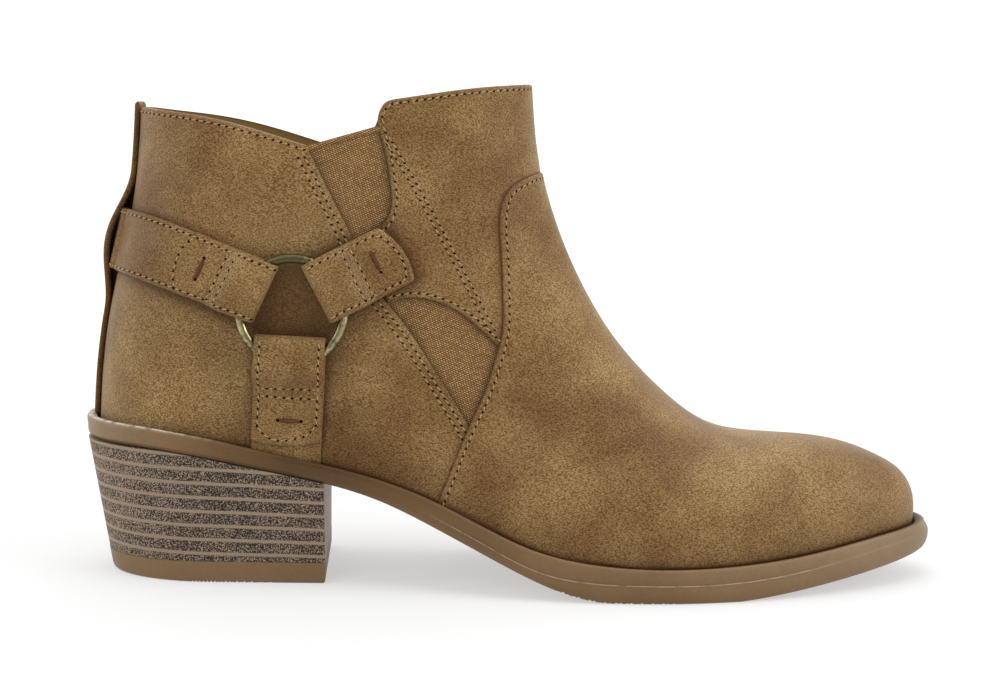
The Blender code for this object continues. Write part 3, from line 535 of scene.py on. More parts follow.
def add_grid(name, grid, finish, around=False, flip=False, merge=0.0, **marks):
    """Object from a grid of points, closed around its columns and with its faces turned where asked."""
    quads = grid_quads(*grid.shape[:2], around=around, flip=flip)
    return add_mesh(name, grid, quads, finish, merge, **marks)


def attach(piece, slot, *nodes):
    """Piece rides on the boot and stands for the CAD nodes it covers, which it hides; the slot is not used.
    """
    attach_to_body(piece, "root")
    if nodes:
        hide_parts(*nodes)
    return piece


class Value:
    """Socket of a shader tree whose operators add Math nodes."""

    def __init__(self, finish, socket):
        self.finish = finish
        self.socket = socket

    def math(self, operation, other, swapped=False):
        """Math node of this value and another value or number."""
        pair = (other, self) if swapped else (self, other)
        return self.finish.node("ShaderNodeMath", {"operation": operation}, {0: pair[0], 1: pair[1]})

    def __add__(self, other):
        return self.math("ADD", other)

    def __radd__(self, other):
        return self.math("ADD", other)

    def __sub__(self, other):
        return self.math("SUBTRACT", other)

    def __rsub__(self, other):
        return self.math("SUBTRACT", other, True)

    def __mul__(self, other):
        return self.math("MULTIPLY", other)

    def __rmul__(self, other):
        return self.math("MULTIPLY", other)

    def __truediv__(self, other):
        return self.math("DIVIDE", other)


class Finish:
    """Material of one finish: a Principled shader and the nodes that feed it."""

    def __init__(self, name, **sockets):
        self.material = bpy.data.materials.new(name)
        self.material.use_nodes = True
        self.tree = self.material.node_tree
        self.shader = self.tree.nodes["Principled BSDF"]
        for socket, value in sockets.items():
            self.shader.inputs[socket.replace("_", " ")].default_value = value
        self.place = self.node("ShaderNodeTexCoord", {}, {}, "Object")

    def node(self, kind, settings, inputs, output=0):
        """Node of a type with its settings, then the values or links of its sockets; gives one output."""
        made = self.tree.nodes.new(kind)
        for key, value in settings.items():
            if key == "stops":
                ramp = made.color_ramp
                for index, (at, colour) in enumerate(value):
                    stop = ramp.elements[index] if index < 2 else ramp.elements.new(at)
                    stop.position = at
                    stop.color = (*colour, 1.0) if len(colour) == 3 else colour
            else:
                setattr(made, key, value)
        for key, value in inputs.items():
            if isinstance(value, Value):
                self.tree.links.new(value.socket, made.inputs[key])
            else:
                made.inputs[key].default_value = value
        return Value(self, made.outputs[output])

    def noise(self, scale, detail=2.0, rough=0.5, stretch=None, turn=(0, 0, 0), distortion=0.0):
        """Noise at a scale per metre, stretched and turned where asked."""
        at = self.place
        if stretch:
            at = self.node("ShaderNodeMapping", {}, {"Vector": at, "Rotation": turn, "Scale": stretch})
        wants = {"Vector": at, "Scale": scale, "Detail": detail, "Roughness": rough}
        return self.node("ShaderNodeTexNoise", {}, {**wants, "Distortion": distortion})

    def spread(self, value, low, high, out_low=0.0, out_high=1.0):
        """Value mapped from one range to another and held inside it."""
        wants = {0: value, 1: low, 2: high, 3: out_low, 4: out_high}
        return self.node("ShaderNodeMapRange", {"clamp": True}, wants)

    def ramp(self, value, *stops):
        """Colour ramp over a value."""
        return self.node("ShaderNodeValToRGB", {"stops": stops}, {"Fac": value})

    def mix(self, share, first, second, blend="MIX"):
        """Mix of two colours by a share."""
        colours = [c if isinstance(c, Value) else (*c, 1.0) for c in (first, second)]
        settings = {"data_type": "RGBA", "blend_type": blend}
        return self.node("ShaderNodeMix", settings, {0: share, 6: colours[0], 7: colours[1]}, 2)

    def grey(self, value):
        """Grey colour of a value."""
        return self.node("ShaderNodeCombineColor", {}, {0: value, 1: value, 2: value})

    def attribute(self, name):
        """Value of a point attribute of the piece."""
        return self.node("ShaderNodeAttribute", {"attribute_name": name}, {}, "Fac")

    def axes(self):
        """The three object coordinates as values."""
        made = self.tree.nodes.new("ShaderNodeSeparateXYZ")
        self.tree.links.new(self.place.socket, made.inputs[0])
        return [Value(self, made.outputs[i]) for i in range(3)]

    def bump(self, *layers):
        """Chain of Bump nodes, one for each value with its strength and depth in millimetres."""
        normal = None
        for value, strength, depth in layers:
            wants = {"Height": value, "Strength": strength, "Distance": depth * MM}
            if normal is not None:
                wants["Normal"] = normal
            normal = self.node("ShaderNodeBump", {}, wants)
        self.feed("Normal", normal)

    def feed(self, socket, value):
        """Links a value to a socket of the shader."""
        self.tree.links.new(value.socket, self.shader.inputs[socket])


def shaded(colour, factor):
    """Colour times a factor, or times a factor for each channel."""
    return tuple(np.multiply(colour, factor))


def leather_finish(name, dark, light):
    """Brushed tan leather: soft mottling, a fine nap that shines on its peaks only, burnished edges and
    painted shade.

    The edge mark is 1 where the leather is darkest, at burnished edges and in painted shade; the tone mark
    lifts or lowers the mottling, partly as painted light and shade.
    """
    made = Finish(name, Specular_IOR_Level=0.28, Specular_Tint=(1.0, 0.88, 0.58, 1.0), Coat_Roughness=0.48,
                  Sheen_Weight=0.12, Sheen_Tint=(1.0, 0.88, 0.66, 1.0))
    cloud = made.noise(26.0, 2.0, 0.5, distortion=0.6)
    patchy = made.noise(70.0, 2.0, 0.5)
    nap = made.noise(2600.0, 0.0, 0.5, stretch=(0.75, 1.0, 1.3), turn=(0.0, 0.7, 0.0))
    mottle = 0.55 * cloud + 0.45 * patchy
    # The tone mark adds the soft spots, partly mottling and partly painted light and shade
    tone = made.spread(mottle + 0.14 * made.attribute("tone"), 0.36, 0.64)
    colour = made.ramp(tone, (0.0, dark), (1.0, light))
    grain = made.spread(nap, 0.3, 0.7)
    between_hairs, hair_tips, dark_edge_and_shade = (0.56, 0.4, 0.22), (1.38, 1.56, 1.74), (0.37, 0.19, 0.09)
    colour = made.mix(1.0, colour, made.mix(grain, between_hairs, hair_tips), "MULTIPLY")
    # Burnished edges and painted shade darken the colour by the edge mark
    shadow = made.attribute("edge")
    colour = made.mix(shadow, colour, shaded(dark, dark_edge_and_shade))
    made.feed("Base Color", colour)
    made.feed("Roughness", made.spread(nap, 0.3, 0.7, 0.48, 0.66))
    made.feed("Coat Weight", 0.35 * grain * (1.0 - shadow))
    made.bump((patchy, 0.2, 0.6), (nap, 0.9, 0.07))
    return made.material


def gore_finish(name, colour):
    """Woven elastic: rows of short raised threads set over each other like bricks, with dark gaps.

    The edge mark is 1 in the shadow along the leather.
    """
    made = Finish(name, Roughness=0.85, Specular_IOR_Level=0.2)
    flat = made.place
    for turn in ((0.0, WEAVE_TILT, 0.0), (-math.pi / 2, 0.0, 0.0)):
        flat = made.node("ShaderNodeMapping", {}, {"Vector": flat, "Rotation": turn})
    wants = {"Vector": flat, "Scale": 1.0, "Mortar Size": WEAVE_GAP * MM, "Mortar Smooth": 0.8, "Bias": 0.0,
             "Brick Width": WEAVE_LENGTH * MM, "Row Height": WEAVE_ROW * MM, "Color1": (1, 1, 1, 1),
             "Color2": (0.5, 0.5, 0.5, 1), "Mortar": (0, 0, 0, 1)}
    threads = made.node("ShaderNodeTexBrick", {"offset": 0.5}, wants)
    level = made.node("ShaderNodeRGBToBW", {}, {0: threads})
    cloud = made.noise(60.0, 3.0, 0.6)
    tone = made.spread(0.8 * level + 0.3 * cloud, 0.1, 1.0)
    woven = made.ramp(tone, (0.0, shaded(colour, 0.13)), (1.0, shaded(colour, 1.6)))
    made.feed("Base Color", made.mix(0.85 * made.attribute("edge"), woven, shaded(colour, 0.12)))
    made.bump((level, 0.8, 0.2))
    return made.material


def lining_finish(name, colour, facing):
    """Thin brushed lining cloth, with a leather facing on the edge mark."""
    made = Finish(name, Roughness=0.9, Specular_IOR_Level=0.15)
    cloud = made.noise(60.0, 3.0, 0.6)
    nap = made.noise(1400.0, 3.0, 0.6)
    tone = made.spread(0.5 * cloud + 0.5 * nap, 0.3, 0.7)
    cloth = made.ramp(tone, (0.0, shaded(colour, 0.75)), (1.0, shaded(colour, 1.15)))
    made.feed("Base Color", made.mix(made.attribute("edge"), cloth, facing))
    made.bump((nap, 0.4, 0.12))
    return made.material


def sole_finish(name, pale, deep, glue):
    """Moulded brown sole: deep brown of painted shade where the shade mark is 1, dry pale glue with a
    painted highlight on the edge mark, faint cloud and fine dust over a satin surface."""
    made = Finish(name, Specular_IOR_Level=0.4, Specular_Tint=(1.0, 0.85, 0.6, 1.0))
    cloud = made.noise(45.0, 4.0, 0.6)
    dust = made.noise(1500.0, 2.0, 0.6)
    tone = made.spread(0.6 * cloud + 0.4 * dust, 0.34, 0.66, 0.84, 1.16)
    middle = shaded(pale, (0.7, 0.55, 0.4))
    colour = made.ramp(made.attribute("shade"), (0.0, pale), (0.5, middle), (1.0, deep))
    colour = made.mix(1.0, colour, made.grey(tone), "MULTIPLY")
    dry = made.attribute("edge") * made.spread(made.noise(420.0, 2.0, 0.6), 0.32, 0.55)
    colour = made.mix(0.9 * dry, colour, glue)
    made.feed("Base Color", colour)
    made.feed("Roughness", made.spread(dust, 0.3, 0.7, 0.42, 0.58))
    made.bump((dust, 0.2, 0.05))
    return made.material


def stack_finish(name, dark, light, pitch):
    """Stacked heel: pale lines at an even pitch that fan out to the back, with dark speckled bands between.

    A layer rises with its distance behind the breast, more so higher up. The edge mark is 1 on the plain
    breast.
    """
    made = Finish(name, Specular_IOR_Level=0.3)
    x, _, z = made.axes()
    behind = x - BREAST["lateral"] * MM
    wave = made.noise(45.0, 2.0, 0.5)
    level = (z + (FAN_SLOPE + FAN_GAIN * z) * behind - STACK_FROM * MM) / pitch + 0.1 * wave
    share = made.node("ShaderNodeMath", {"operation": "FRACT"}, {0: level + 0.5})
    away = made.node("ShaderNodeMath", {"operation": "ABSOLUTE"}, {0: share - 0.5})
    plain = made.attribute("edge")
    band = made.spread(away, 0.1, 0.15) * made.spread(plain, 0.3, 0.7, 1.0, 0.0)
    speck = made.noise(2700.0, 1.0, 0.5)
    broad = made.noise(140.0, 2.0, 0.5)
    # The specks grow paler towards the back of the heel
    paleness = made.spread(behind, -0.07, -0.04, 0.05, 0.0)
    spots = made.spread(0.9 * speck + 0.1 * broad + paleness, 0.46, 0.6)
    speckled = made.ramp(spots, (0.0, dark), (0.5, shaded(light, 0.32)), (1.0, shaded(light, 1.2)))
    made.feed("Base Color", made.mix(band, light, speckled))
    made.feed("Roughness", made.spread(band, 0.0, 1.0, 0.5, 0.75))
    made.bump((1.0 - band, 0.9, 0.4), (spots * band, 0.5, 0.15))
    return made.material


def thread_finish(name, colour, gloss=0.25):
    """Twisted sewing thread, or the painted shadow of a needle hole."""
    made = Finish(name, Roughness=0.7, Specular_IOR_Level=gloss)
    twist = made.noise(2200.0, 2.0, 0.5)
    tone = made.spread(twist, 0.35, 0.65)
    made.feed("Base Color", made.ramp(tone, (0.0, shaded(colour, 0.7)), (1.0, shaded(colour, 1.15))))
    return made.material


def brass_finish(name, bright, patina):
    """Antique brass: bright metal rubbed bare under patches of matt greenish patina, with more patina on the
    edge mark, which is painted shade over the ring's upper half.
    """
    made = Finish(name, Metallic=1.0)
    cloud = made.noise(130.0, 4.0, 0.65)
    speck = made.noise(900.0, 3.0, 0.6)
    paleness = made.spread(0.7 * cloud + 0.3 * speck - 0.16 * made.attribute("edge"), 0.4, 0.58)
    made.feed("Base Color", made.ramp(paleness, (0.0, patina), (1.0, bright)))
    made.feed("Roughness", made.spread(paleness, 0.0, 1.0, 0.42, 0.22))
    made.bump((speck, 0.2, 0.06))
    return made.material


def length(name, description, default):
    """Property for a length in metres."""
    return bpy.props.FloatProperty(name=name, description=description, default=default, unit="LENGTH")


def tint(name, description, *default):
    """Property for a colour of three channels."""
    return bpy.props.FloatVectorProperty(
        name=name, description=description, default=default, size=3, subtype="COLOR")


class BootLook(bpy.types.PropertyGroup):
    """Sizes and colours of the boot that a user would change."""

    stitch_pitch: length("Stitch pitch", "Distance from one stitch to the next", 0.0023)
    stitch_length: length("Stitch length", "Length of thread that shows", 0.0013)
    thread_width: length("Thread width", "Thickness of the sewing thread", 0.00036)
    edge_round: length("Edge rounding", "Rounding of the cut leather edges", 0.0008)
    stack_pitch: length("Heel layer", "Height of one layer of the stacked heel", 0.00418)
    leather_dark: tint("Leather, dark", "Darker tan of the mottled leather", 0.14, 0.065, 0.017)
    leather_light: tint("Leather, light", "Lighter tan of the mottled leather", 0.266, 0.16, 0.058)
    gore_tan: tint("Gore", "Thread of the elastic gores", 0.368, 0.209, 0.08)
    lining_tan: tint("Lining", "Lining cloth and sock", 0.4, 0.28, 0.16)
    sole_brown: tint("Sole, pale", "Lighter brown of the moulded sole", 0.25, 0.182, 0.113)
    # Brown of the painted shade on the sole along the waist and in the gap under the upper
    sole_in_shade: tint("Sole, deep", "Darker brown of the sole along the waist", 0.06, 0.028, 0.009)
    # Pale dry glue on the rim, which also gives a painted highlight on the rim's lip, and the parting line
    glue_and_highlight: tint("Dry glue", "Glue on the sole's rim, and its parting line", 0.8, 0.73, 0.65)
    stack_dark: tint("Heel bands", "Dark specks of the heel bands", 0.022, 0.016, 0.012)
    stack_light: tint("Heel lines", "Pale lines of the stacked heel", 0.29, 0.212, 0.145)
    thread_tan: tint("Thread", "Sewing thread", 0.45, 0.31, 0.155)
    tack_red: tint("Bar tack", "Thick thread of the bar tacks", 0.11, 0.036, 0.012)
    hole_brown: tint("Needle holes", "Shadow in the needle holes", 0.022, 0.009, 0.004)
    brass_bright: tint("Brass", "Worn metal of the rings", 0.5, 0.43, 0.235)
    brass_patina: tint("Patina", "Dull patches of the rings", 0.1, 0.085, 0.04)


def look():
    """Property values of the scene."""
    return bpy.context.scene.boot_look


def finish_once(name, make, *values):
    """Material of a name, made the first time that it is asked for."""
    return bpy.data.materials.get(name) or make(name, *values)


def leather():
    """Tan leather of the panels and straps."""
    return finish_once("tan_leather", leather_finish, look().leather_dark, look().leather_light)


def lining_cloth():
    """Lining cloth of the inside and the sock."""
    return finish_once("lining_cloth", lining_finish, look().lining_tan, look().leather_light)


def sole_rubber():
    """Brown rubber of the sole and the lift."""
    return finish_once("sole_brown", sole_finish, look().sole_brown, look().sole_in_shade, look().glue_and_highlight)


def vamp_end(w):
    """Distance s of the vamp's seam at each w."""
    line = line_at(VAMP_SEAM, np.linspace(0, 1, 500))[::-1]

    def ahead(s):
        point = last_point(s, w)
        return point[..., 0] > np.interp(point[..., 2], line[:, 1], line[:, 0])
    return crossing(ahead, w.shape, 1)


def collar_end(w):
    """Distance s of the collar's line at each w."""
    top = np.array(COLLAR_BACK + [COLLAR_NOTCH] + COLLAR_FRONT)

    def below(s):
        point = last_point(s, w)
        return point[..., 2] < np.interp(point[..., 0], top[:, 0], top[:, 1])
    return crossing(below, w.shape, 1)


def edge_drop(distance, radius):
    """Drop of a rounded edge at a distance from it."""
    near = np.clip(1 - distance / radius, 0, 1)
    return radius * (1 - np.sqrt(np.maximum(1 - near * near, 0)))


def run_from(points, axis, last=False):
    """Distance along the lines of a grid from its first or last row or column."""
    steps = np.linalg.norm(np.diff(points, axis=axis), axis=-1)
    if last:
        steps = np.flip(steps, axis)
    total = np.concatenate([np.zeros_like(np.take(steps, [0], axis)), np.cumsum(steps, axis)], axis)
    return np.flip(total, axis) if last else total


def panel_shell(points, normals, rise, skirts):
    """Leather panel over a grid: at its rise, rounded down at each edge that has a skirt, to its level.

    Skirts are levels for the first and last row and the first and last column, or None for an edge that is
    covered or goes on. Gives the points with the skirts added and how near each is to an edge, from 0 to 1.
    """
    radius = look().edge_round / MM
    near = np.full(points.shape[:2], FAR)
    for index, skirt in enumerate(skirts):
        if skirt is not None:
            near = np.minimum(near, run_from(points, index // 2, index % 2 == 1))
    grow = np.array([skirt is not None for skirt in skirts], int).reshape(2, 2)
    level = np.pad(rise - edge_drop(near, radius), grow, mode="edge")
    edge_mark = np.pad(fading(PANEL_BURNISH, near), grow, mode="edge")
    points, normals = (np.pad(each, [*grow, (0, 0)], mode="edge") for each in (points, normals))
    for index, skirt in enumerate(skirts):
        if skirt is not None:
            row = [slice(None), slice(None)]
            row[index // 2] = -(index % 2)
            level[tuple(row)] = skirt
    return points + normals * level[..., None], edge_mark


def quarter_grid(side):
    """Points and normals of a quarter, between the back line, its front edge, feather edge and collar."""
    u = np.linspace(0, 1, 110)
    g = 1 - np.cos(u * math.pi / 2)
    fine = 1 - np.array([0.012, 0.0085, 0.0055, 0.003, 0.0012, 0.0])
    g = np.concatenate([g[g < 0.985], fine])
    v = shares(96, fine_end=True)
    back_z = SHAFT[0].base_z + v * (COLLAR_BACK[0][1] - SHAFT[0].base_z)
    left = np.stack([back_x(back_z), back_z], -1)
    toe_x = QUARTER_EDGE[-1][0]
    right = line_at(QUARTER_EDGE[:-1] + [(toe_x, float(seat(toe_x)))], 1 - v)
    foot = SHAFT[0].base_x + g * (toe_x - SHAFT[0].base_x)
    bottom = np.stack([foot, seat(foot)], -1)
    top = line_at(COLLAR_BACK, g)
    top = top + (1 - g)[:, None] * (left[-1] - top[0])
    flat = patch(left, right, bottom, top, g, v)
    return side_frame(np.maximum(flat[..., 0], back_x(flat[..., 1])), flat[..., 1], side)


def front_grid(side):
    """Points and normals of half of the shaft front, from its gore edge to the ridge or under the vamp."""
    u = np.linspace(0, 1, 74)
    fine = np.array([0.0, 0.0025, 0.006, 0.011, 0.018, 0.027])
    g = np.concatenate([fine, np.sin(u * math.pi / 2)[u > 0.03]])
    v = shares(96, fine_start=True, fine_end=True)
    left = line_at([EAR_LOWER[0], BEHIND_TAB] + GORE_FRONT[::-1] + [FRONT_CORNER, COLLAR_FRONT[0]], v)
    ridge_x, ridge_z, *_ = section_at(np.linspace(KNOTS[RIDGE_SECTION], KNOTS[-1], 200))
    top_z = COLLAR_FRONT[-1][1]
    kept = (ridge_z > RIDGE_FROM - 2) & (ridge_z < top_z)
    ridge_x, ridge_z = ridge_x[kept], ridge_z[kept]
    top_point = [(np.interp(top_z, ridge_z, ridge_x), top_z)]
    right = line_at(np.concatenate([UNDER_VAMP, np.stack([ridge_x, ridge_z], -1)[::6], top_point]), v)
    on_ridge = right[:, 1] > RIDGE_FROM
    right[on_ridge, 0] = np.interp(right[on_ridge, 1], ridge_z, ridge_x)
    bottom = line_at(EAR_LOWER, g)
    bottom = bottom + g[:, None] * (right[0] - bottom[-1])
    top = line_at(COLLAR_FRONT, g)
    top = top + g[:, None] * (right[-1] - top[-1])
    flat = patch(left, right, bottom, top, g, v)
    points, normals = side_frame(flat[..., 0], flat[..., 1], side)
    points[on_ridge, -1, 1] = CENTRE_Y
    normals[on_ridge, -1, 1] = 0.0
    return points, normals


def shaded_above_sole(shell, edge_mark):
    """Edge mark of a panel with painted shade on the leather just above the sole, in a thin line and a wide
    soft band that both fade out round the back of the heel."""
    above = np.maximum(shell[..., 2] - height("rim", shell[..., 0]), 0)
    sole_shade = np.maximum(fading(SOLE_SHADOW_LINE, above), fading(SOLE_SHADE_BAND, above))
    return np.maximum(edge_mark, sole_shade * smooth((shell[..., 0] - SOLE_SHADE_FROM) / (SOLE_SHADE_FULL - SOLE_SHADE_FROM)))


def strap_shade(shell):
    """Soft shade on the leather close beside the straps, by distance from each strap's rectangle."""
    shade = np.zeros(shell.shape[:-1])
    for tab in TABS:
        angle = math.radians(tab.angle)
        x, z = shell[..., 0] - RING_X, shell[..., 2] - RING_Z
        run = x * math.cos(angle) + z * math.sin(angle)
        across = np.abs(z * math.cos(angle) - x * math.sin(angle) - tab.middle)
        past = np.maximum(tab.fold - run, run - tab.top)
        away = np.hypot(np.maximum(across - tab.half, 0), np.maximum(past, 0))
        shade = np.maximum(shade, fading(STRAP_SHADE, away))
    return shade


# Lighter and darker places of the leather in the side view, partly its own mottling and partly painted light
# and shade, as on the lit toe top: middle, reach and lift of the tone
Spot = namedtuple("Spot", "x z reach lift")
MOTTLE_AND_LIGHT_SPOTS = [
    Spot(-94, 64, 20, 1.1), Spot(-41, 64, 11, 0.8), Spot(-38, 50, 13, -0.9), Spot(-14, 130, 22, -0.7),
    Spot(-24, 38, 12, 0.9), Spot(26, 25, 20, -0.4), Spot(92, 34, 28, 0.4), Spot(-27, 118, 8, 0.8),
    Spot(27, 64, 10, 0.7), Spot(45, 34, 9, -0.9), Spot(20, 33, 9, 0.7), Spot(31, 47, 10, -0.75),
    Spot(78, 46, 11, 0.9), Spot(58, 37, 9, 0.8), Spot(55, 46, 8, -0.3), Spot(6, 61, 9, -0.6),
    Spot(-4, 46, 9, 0.7), Spot(13, 115, 7, 0.8), Spot(5, 112, 6, -0.6), Spot(-85, 110, 14, -0.4),
]


def mottle_and_painted_light(shell):
    """Tone mark of a panel: the sum of the soft spots, partly mottling and partly painted light and shade.
    """
    away = [np.hypot(shell[..., 0] - spot.x, shell[..., 2] - spot.z) / spot.reach for spot in MOTTLE_AND_LIGHT_SPOTS]
    return sum(spot.lift * np.exp(-distance**2) for spot, distance in zip(MOTTLE_AND_LIGHT_SPOTS, away))


def seam_shade(shell):
    """Shadow that the vamp's raised edge casts on the leather behind it, by distance in the side view."""
    line = line_at(VAMP_SEAM, np.linspace(0, 1, 300))
    seam_x = np.interp(shell[..., 2], line[::-1, 1], line[::-1, 0])
    return fading(SEAM_SHADE, np.maximum(seam_x - shell[..., 0], 0))


def line_distance(shell, *lines):
    """Distance of each point in the side view from the nearest of some lines."""
    spots = np.concatenate([line_at(line, np.linspace(0, 1, 160)) for line in lines])
    flat = shell[..., [0, 2]]
    return np.min([np.linalg.norm(flat - spot, axis=-1) for spot in spots], axis=0)


def soft_dents(points, normals, dents):
    """Soft troughs in the leather: each a Gaussian hollow about a short line, given by its two ends,
    half width and depth, with ridges of nearly half the depth on both sides."""
    moved = points.copy()
    for start, end, width, depth in dents:
        start, end = np.array(start, float), np.array(end, float)
        way = end - start
        share = np.clip(((points - start) @ way) / (way @ way), 0, 1)
        away = np.linalg.norm(points - start - share[..., None] * way, axis=-1) / width
        fade = np.sin(math.pi * np.clip(share, 0.04, 0.96))
        trough = np.exp(-away**2) - 0.45 * np.exp(-((away - 1.9) / 0.8) ** 2)
        moved = moved - normals * (depth * fade * trough)[..., None]
    return moved


# Troughs of the vamp over the toe break and the instep
VAMP_DENTS = [
    ((38, -20, 52), (22, -34, 34), 6.0, 0.5),
    ((52, -10, 47), (44, -38, 28), 7.0, 0.45),
    ((26, -12, 72), (8, -28, 62), 6.0, 0.4),
    ((64, 20, 42), (52, 38, 26), 7.0, 0.4),
]


def add_panel(node, shell, edge, flip=False):
    """Leather panel that stands for a CAD node, with its edge mark and its mottling."""
    made = add_grid(f"{node}_leather", shell, leather(), flip=flip, edge=edge, tone=mottle_and_painted_light(shell))
    return attach(made, "leather", node)


class BOOT_OT_leather(bpy.types.Operator):
    """Leather of the upper: vamp, shaft front and quarters, each with rounded and burnished edges and with
    painted shade
    """

    bl_idname = "boot.leather"
    bl_label = "Leather panels"

    def execute(self, context):
        w = np.linspace(-1, 1, 181)
        t = shares(150, fine_end=True, fine=0.008)
        s = KNOTS[0] + t[:, None] * (vamp_end(w) - KNOTS[0])[None]
        w = np.broadcast_to(w, s.shape)
        points, normals = last_point(s, w), last_normal(s, w)
        normals[0] = (1, 0, 0)
        points = soft_dents(points, normals, VAMP_DENTS)
        shell, edge_mark = panel_shell(points, normals, VAMP_RISE, (None, VAMP_SKIRT, None, None))
        # Edge mark of the vamp with painted shade just above the sole
        add_panel("vamp", shell, shaded_above_sole(shell, edge_mark))

        halves, marks, quads = [], [], []
        for side in SIDES:
            skirts = (GORE_SKIRT, COLLAR_SKIRT, GORE_SKIRT, None)
            shell, edge_mark = panel_shell(*front_grid(side), 0.0, skirts)
            # Edge mark of the shaft front: burnished edges with painted shade behind the vamp's edge and
            # beside the straps
            marks.append(np.maximum.reduce([edge_mark, seam_shade(shell), strap_shade(shell)]))
            quads.append(grid_quads(*shell.shape[:2], len(halves) * edge_mark.size, flip=side == "medial"))
            halves.append(shell)
        halves = np.stack(halves)
        made = add_mesh("front_panel_leather", halves, np.concatenate(quads), leather(), merge=HALVES_MERGE,
                        edge=np.stack(marks), tone=mottle_and_painted_light(halves))
        attach(made, "leather", "front_panel")

        for side in SIDES:
            shell, edge_mark = panel_shell(*quarter_grid(side), 0.0, (None, COLLAR_SKIRT, None, GORE_SKIRT))
            away = np.hypot(shell[..., 0] - RING_X, shell[..., 2] - RING_Z)
            in_ring = RING_SHADE * smooth((RING_RADIUS + RING_SHADE_OUT - away) / RING_SHADE_FADE)
            # Edge mark of a quarter: burnished edges with painted shade behind the vamp's edge, beside the
            # straps, inside the ring and just above the sole
            edge_mark = np.maximum.reduce([edge_mark, seam_shade(shell), strap_shade(shell), in_ring])
            add_panel(f"quarter_{side}", shell, shaded_above_sole(shell, edge_mark), flip=side == "medial")
        return {"FINISHED"}


class BOOT_OT_gores(bpy.types.Operator):
    """Elastic gores between the leather panels and the lining inside"""

    bl_idname = "boot.gores"
    bl_label = "Gores and lining"

    def execute(self, context):
        weave = finish_once("gore_weave", gore_finish, look().gore_tan)
        u, v = np.linspace(0, 1, 70), shares(90, fine_end=True)
        for side in SIDES:
            left = beside(QUARTER_EDGE, -GORE_LAP)[::-1]
            left = left[left[:, 1] > GORE_LOW]
            left = line_at(left[::12], v)
            right = line_at(GORE_UNDER, v)
            top = line_at(GORE_TOP, u)
            left = left + v[:, None] * (top[0] - left[-1])
            right = right + v[:, None] * (top[-1] - right[-1])
            bottom = left[0] + u[:, None] * (right[0] - left[0])
            flat = patch(left, right, bottom, top, u, v)
            points, normals = side_frame(flat[..., 0], flat[..., 1], side)
            shell, _ = panel_shell(points, normals, GORE_LEVEL, (None, COLLAR_SKIRT, None, None))
            shade = fading(GORE_SHADE, line_distance(shell, QUARTER_EDGE, GORE_FRONT, EAR_LOWER, VAMP_SEAM))
            made = add_grid(f"gore_{side}", shell, weave, flip=side == "medial", edge=shade)
            attach(made, "gore", "upper")
            edge = line_at(GORE_TOP[:3], np.linspace(0, 1, 60))
            points, normals = side_frame(edge[:, 0], edge[:, 1] - BEAD_DROP, side)
            bead = tube(points + normals * (GORE_LEVEL - BEAD_DEPTH), BEAD_RADIUS)
            attach(add_grid(f"gore_binding_{side}", bead, weave, around=True), "gore")

        w = np.linspace(-1, 1, 161)
        t = np.linspace(0, 1, 110)
        start = KNOTS[LINING_SECTION]
        s = start + t[:, None] * (collar_end(w) - start)[None]
        w = np.broadcast_to(w, s.shape)
        inside = last_point(s, w) + LINING_LEVEL * last_normal(s, w)
        facing = np.broadcast_to(smooth((t[:, None] - FACING_FROM) / FACING_FADE), s.shape)
        attach(add_grid("lining", inside, lining_cloth(), flip=True, edge=facing), "sock")
        return {"FINISHED"}


def tube(path, radius, around=10):
    """Round tube about a path: a circle in the plane across the path's direction at each point."""
    ahead = unit(np.gradient(path, axis=0))
    up = unit(np.array([0.0, 0.0, 1.0]) - ahead * ahead[:, 2:])
    aside = np.cross(ahead, up)
    turn = np.linspace(0, 2 * math.pi, around, endpoint=False)[None, :, None]
    return path[:, None] + radius * (np.cos(turn) * aside[:, None] + np.sin(turn) * up[:, None])


def ring_frame(side):
    """Centre, outward axis and radius of a ring: a flat circle over three places on the side of the boot."""
    angles = np.radians([tab.angle for tab in TABS])
    x, z = RING_X + RING_RADIUS * np.cos(angles), RING_Z + RING_RADIUS * np.sin(angles)
    held = [Vector(point) for point in np.stack([x, side_y(x, z, side), z], -1)]
    first, second = held[1] - held[0], held[2] - held[0]
    axis = first.cross(second).normalized()
    lift = first.length_squared * second.cross(axis) + second.length_squared * axis.cross(first)
    offset = lift / (2 * first.cross(second).length)
    outside = axis if axis.y * SIDES[side] > 0 else -axis
    return held[0] + offset + outside * RING_LEVEL, outside, offset.length


RINGS = {side: ring_frame(side) for side in SIDES}


def strap_y(x, z, side):
    """Y that the straps lie on: the outer leather, level with the ring's plane close to the ring."""
    centre, axis, radius = RINGS[side]
    foot = centre - axis * (LAYER_LOW + TURN_RADIUS)
    plane = foot.y - (axis.x * (x - foot.x) + axis.z * (z - foot.z)) / axis.y
    away = smooth((np.hypot(x - RING_X, z - RING_Z) - radius - 2 * RING_WIRE) / RING_FADE)
    return plane + away * (side_y(x, z, side) - plane)


def tab_place(tab, side):
    """Map from the length and width of a ring strap to the side of the boot."""
    angle = math.radians(tab.angle)

    def place(length, across):
        across = across + tab.middle
        x = RING_X + length * math.cos(angle) - across * math.sin(angle)
        z = RING_Z + length * math.sin(angle) + across * math.cos(angle)
        return np.stack([x, strap_y(x, z, side), z], -1)
    return place


def to_turn(run):
    """Turn round the heel at a distance in front of the back line; the sign gives the side."""
    return np.sign(run) * np.arccos(np.clip(1 - np.abs(run) / STRAP_REACH, -1, 1)) * 2 / math.pi


